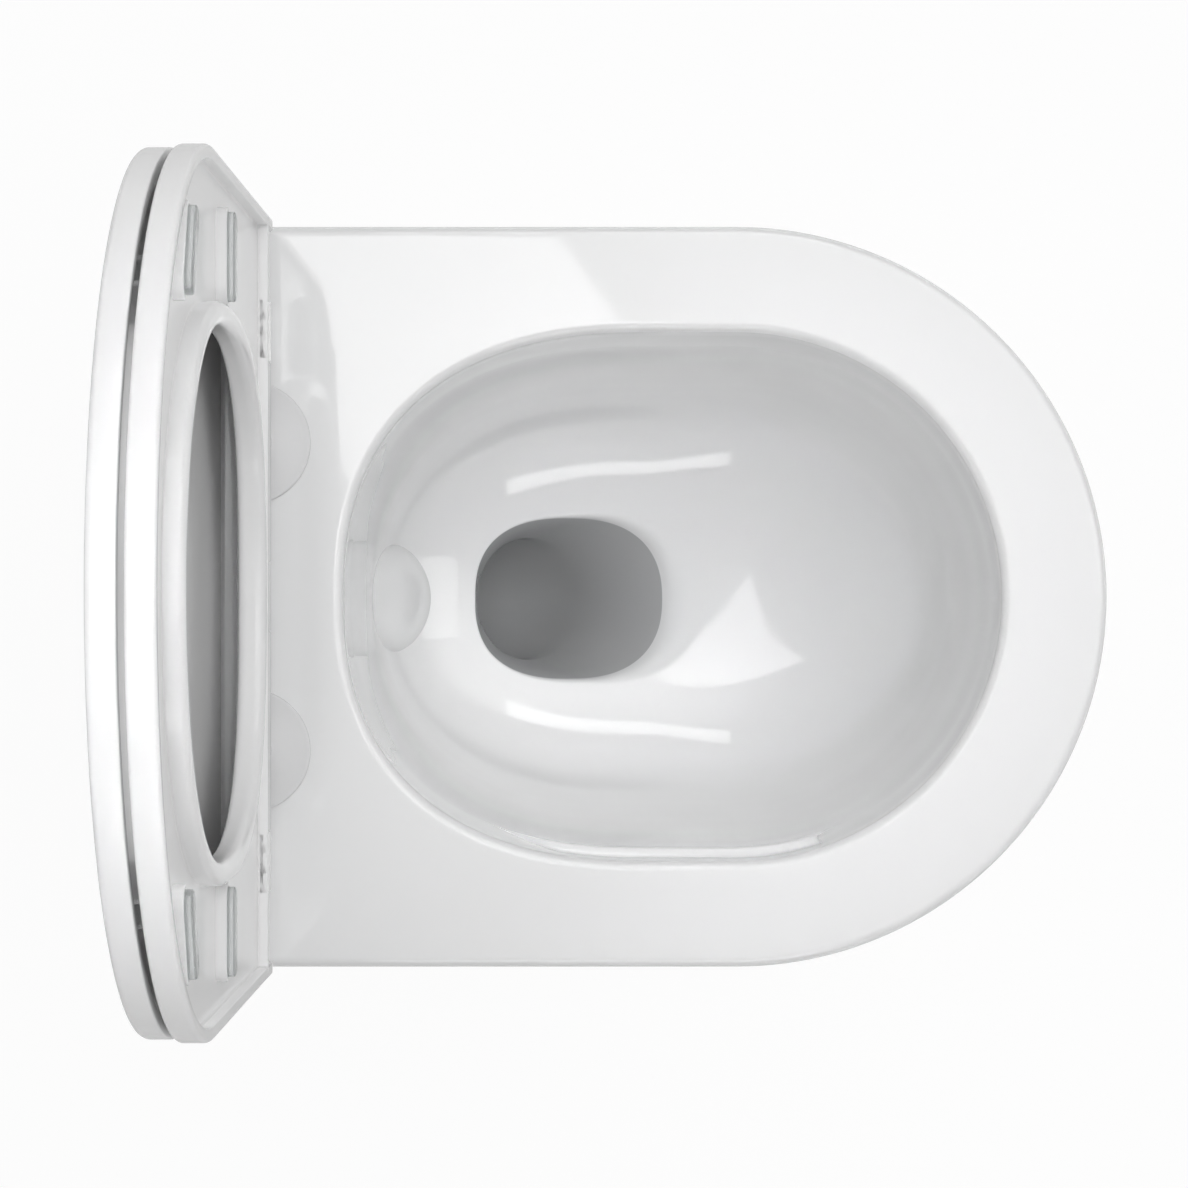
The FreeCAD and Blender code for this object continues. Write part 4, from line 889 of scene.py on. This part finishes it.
# Place, aim, size in metres, strength and turn about the lamp's own axis. The strength is the radiance of
# a softbox. A fill is stronger than its number, since its light is kept within a narrow beam; the fills
# are aimed at the bowl and at the edges of the seat and lid, to bring their greys up to the photograph's.
LAMPS = (
    ("overhead_softbox", (0.291, -0.064, 2.0), (0.291, -0.063, 0.0), (0.6, 0.34), 1.8, 35.0),
    ("right_softbox", (1.7, -0.42, 1.7), (0.0, -0.28, 0.0), (0.9, 0.42), 2.2, 0.0),
    ("left_softbox", (-1.7, -0.42, 1.7), (0.0, -0.28, 0.0), (0.9, 0.42), 2.4, 0.0),
    ("front_softbox", (0.0, -2.1, 1.8), (0.0, -0.25, 0.0), (0.9, 0.6), 1.4, 0.0),
    ("rear_fill", (0.0, 0.75, 2.1), (0.0, -0.35, 0.0), (0.8, 0.4), 0.07, 0.0),
    ("bowl_fill", (0.0, -0.31, 1.95), (0.0, -0.311, 0.0), (0.2, 0.2), 0.47, 0.0),
    ("left_seat_fill", (-1.5, -0.06, 1.3), (0.0, -0.06, 0.58), (0.3, 0.1), 1.4, 0.0),
    ("right_seat_fill", (1.5, -0.06, 1.3), (0.0, -0.06, 0.58), (0.3, 0.1), 1.0, 0.0),
)


def lit_white(tree, shader, strength, share):
    """Lets camera and glass rays see nearly plain white while the surface keeps its shadow."""
    path = tree.nodes.new("ShaderNodeLightPath")
    seen = math_node(tree, "MAXIMUM", path.outputs["Is Camera Ray"], path.outputs["Is Transmission Ray"])
    seen = math_node(tree, "MULTIPLY", seen, share)
    glow, mix = tree.nodes.new("ShaderNodeEmission"), tree.nodes.new("ShaderNodeMixShader")
    glow.inputs["Strength"].default_value = strength
    tree.links.new(seen, mix.inputs[0])
    tree.links.new(shader, mix.inputs[1])
    tree.links.new(glow.outputs[0], mix.inputs[2])
    return mix.outputs[0]


def floor():
    """Plain pale floor, which keeps the shadow of the pan."""
    bm = bmesh.new()
    bmesh.ops.create_grid(bm, x_segments=1, y_segments=1, size=6.0)
    bmesh.ops.translate(bm, verts=bm.verts, vec=(0, -0.3, -0.335))
    mesh = bpy.data.meshes.new("studio_floor")
    bm.to_mesh(mesh)
    bm.free()
    plane = bpy.data.objects.new("studio_floor", mesh)
    bpy.context.scene.collection.objects.link(plane)
    material = bpy.data.materials.new("floor_white")
    material.use_nodes = True
    tree = material.node_tree
    shader = tree.nodes["Principled BSDF"]
    shader.inputs["Base Color"].default_value = (0.95, 0.95, 0.95, 1)
    shader.inputs["Roughness"].default_value = 0.9
    shader.inputs["Specular IOR Level"].default_value = 0.0
    seen = lit_white(tree, shader.outputs[0], 1.0, FLOOR_SEEN_WHITE)
    tree.links.new(seen, tree.nodes["Material Output"].inputs["Surface"])
    mesh.materials.append(material)


def overhead_glow(tree):
    """A plain surround that brightens softly towards one side of straight overhead."""
    heading, facing = tree.nodes.new("ShaderNodeTexCoord"), tree.nodes.new("ShaderNodeVectorMath")
    facing.operation = "DOT_PRODUCT"
    facing.inputs[1].default_value = Vector(GLOW_HEADING).normalized()
    tree.links.new(heading.outputs["Generated"], facing.inputs[0])
    fade = tree.nodes.new("ShaderNodeMapRange")
    fade.interpolation_type = "SMOOTHSTEP"
    limits = GLOW_RANGE + (WORLD_LIGHT, GLOW_LIGHT)
    for socket, value in zip(("From Min", "From Max", "To Min", "To Max"), limits):
        fade.inputs[socket].default_value = value
    tree.links.new(facing.outputs["Value"], fade.inputs["Value"])
    return fade.outputs["Result"]


def studio():
    """World and lamps. The lamps named fill are narrow beams that no reflection shows."""
    world = bpy.data.worlds.new("studio")
    bpy.context.scene.world = world
    world.use_nodes = True
    tree = world.node_tree
    path, background = tree.nodes.new("ShaderNodeLightPath"), tree.nodes["Background"]
    background.inputs["Color"].default_value = (1, 1, 1, 1)
    seen = math_node(tree, "MAXIMUM", path.outputs["Is Camera Ray"], path.outputs["Is Transmission Ray"])
    dim = math_node(tree, "MULTIPLY", math_node(tree, "SUBTRACT", 1.0, seen), overhead_glow(tree))
    tree.links.new(math_node(tree, "ADD", dim, seen), background.inputs["Strength"])
    for name, place, target, size, radiance, turn in LAMPS:
        data = bpy.data.lights.new(name, "AREA")
        data.shape = "RECTANGLE"
        data.size, data.size_y = size
        data.energy = radiance * math.pi * size[0] * size[1]
        lamp = bpy.data.objects.new(name, data)
        lamp.location = place
        aim = (Vector(target) - Vector(place)).to_track_quat("-Z", "Y")
        lamp.rotation_euler = (aim @ Quaternion((0, 0, 1), math.radians(turn))).to_euler()
        if name.endswith("fill"):
            lamp.visible_glossy = False
            data.spread = FILL_SPREAD
        bpy.context.scene.collection.objects.link(lamp)


def camera():
    """Camera straight above, as in the photograph."""
    data = bpy.data.cameras.new("photo_camera")
    data.lens = 99.3
    data.sensor_width = 36.0
    data.shift_x, data.shift_y = 0.00135, 0.016
    data.clip_start, data.clip_end = 0.05, 50.0
    eye = bpy.data.objects.new("photo_camera", data)
    eye.location = (-0.0082, -0.230, 1.732)
    eye.rotation_euler = (0, 0, -math.pi / 2)
    bpy.context.scene.collection.objects.link(eye)
    bpy.context.scene.camera = eye
    bpy.context.scene.view_settings.view_transform = "Standard"


floor()
studio()
camera()
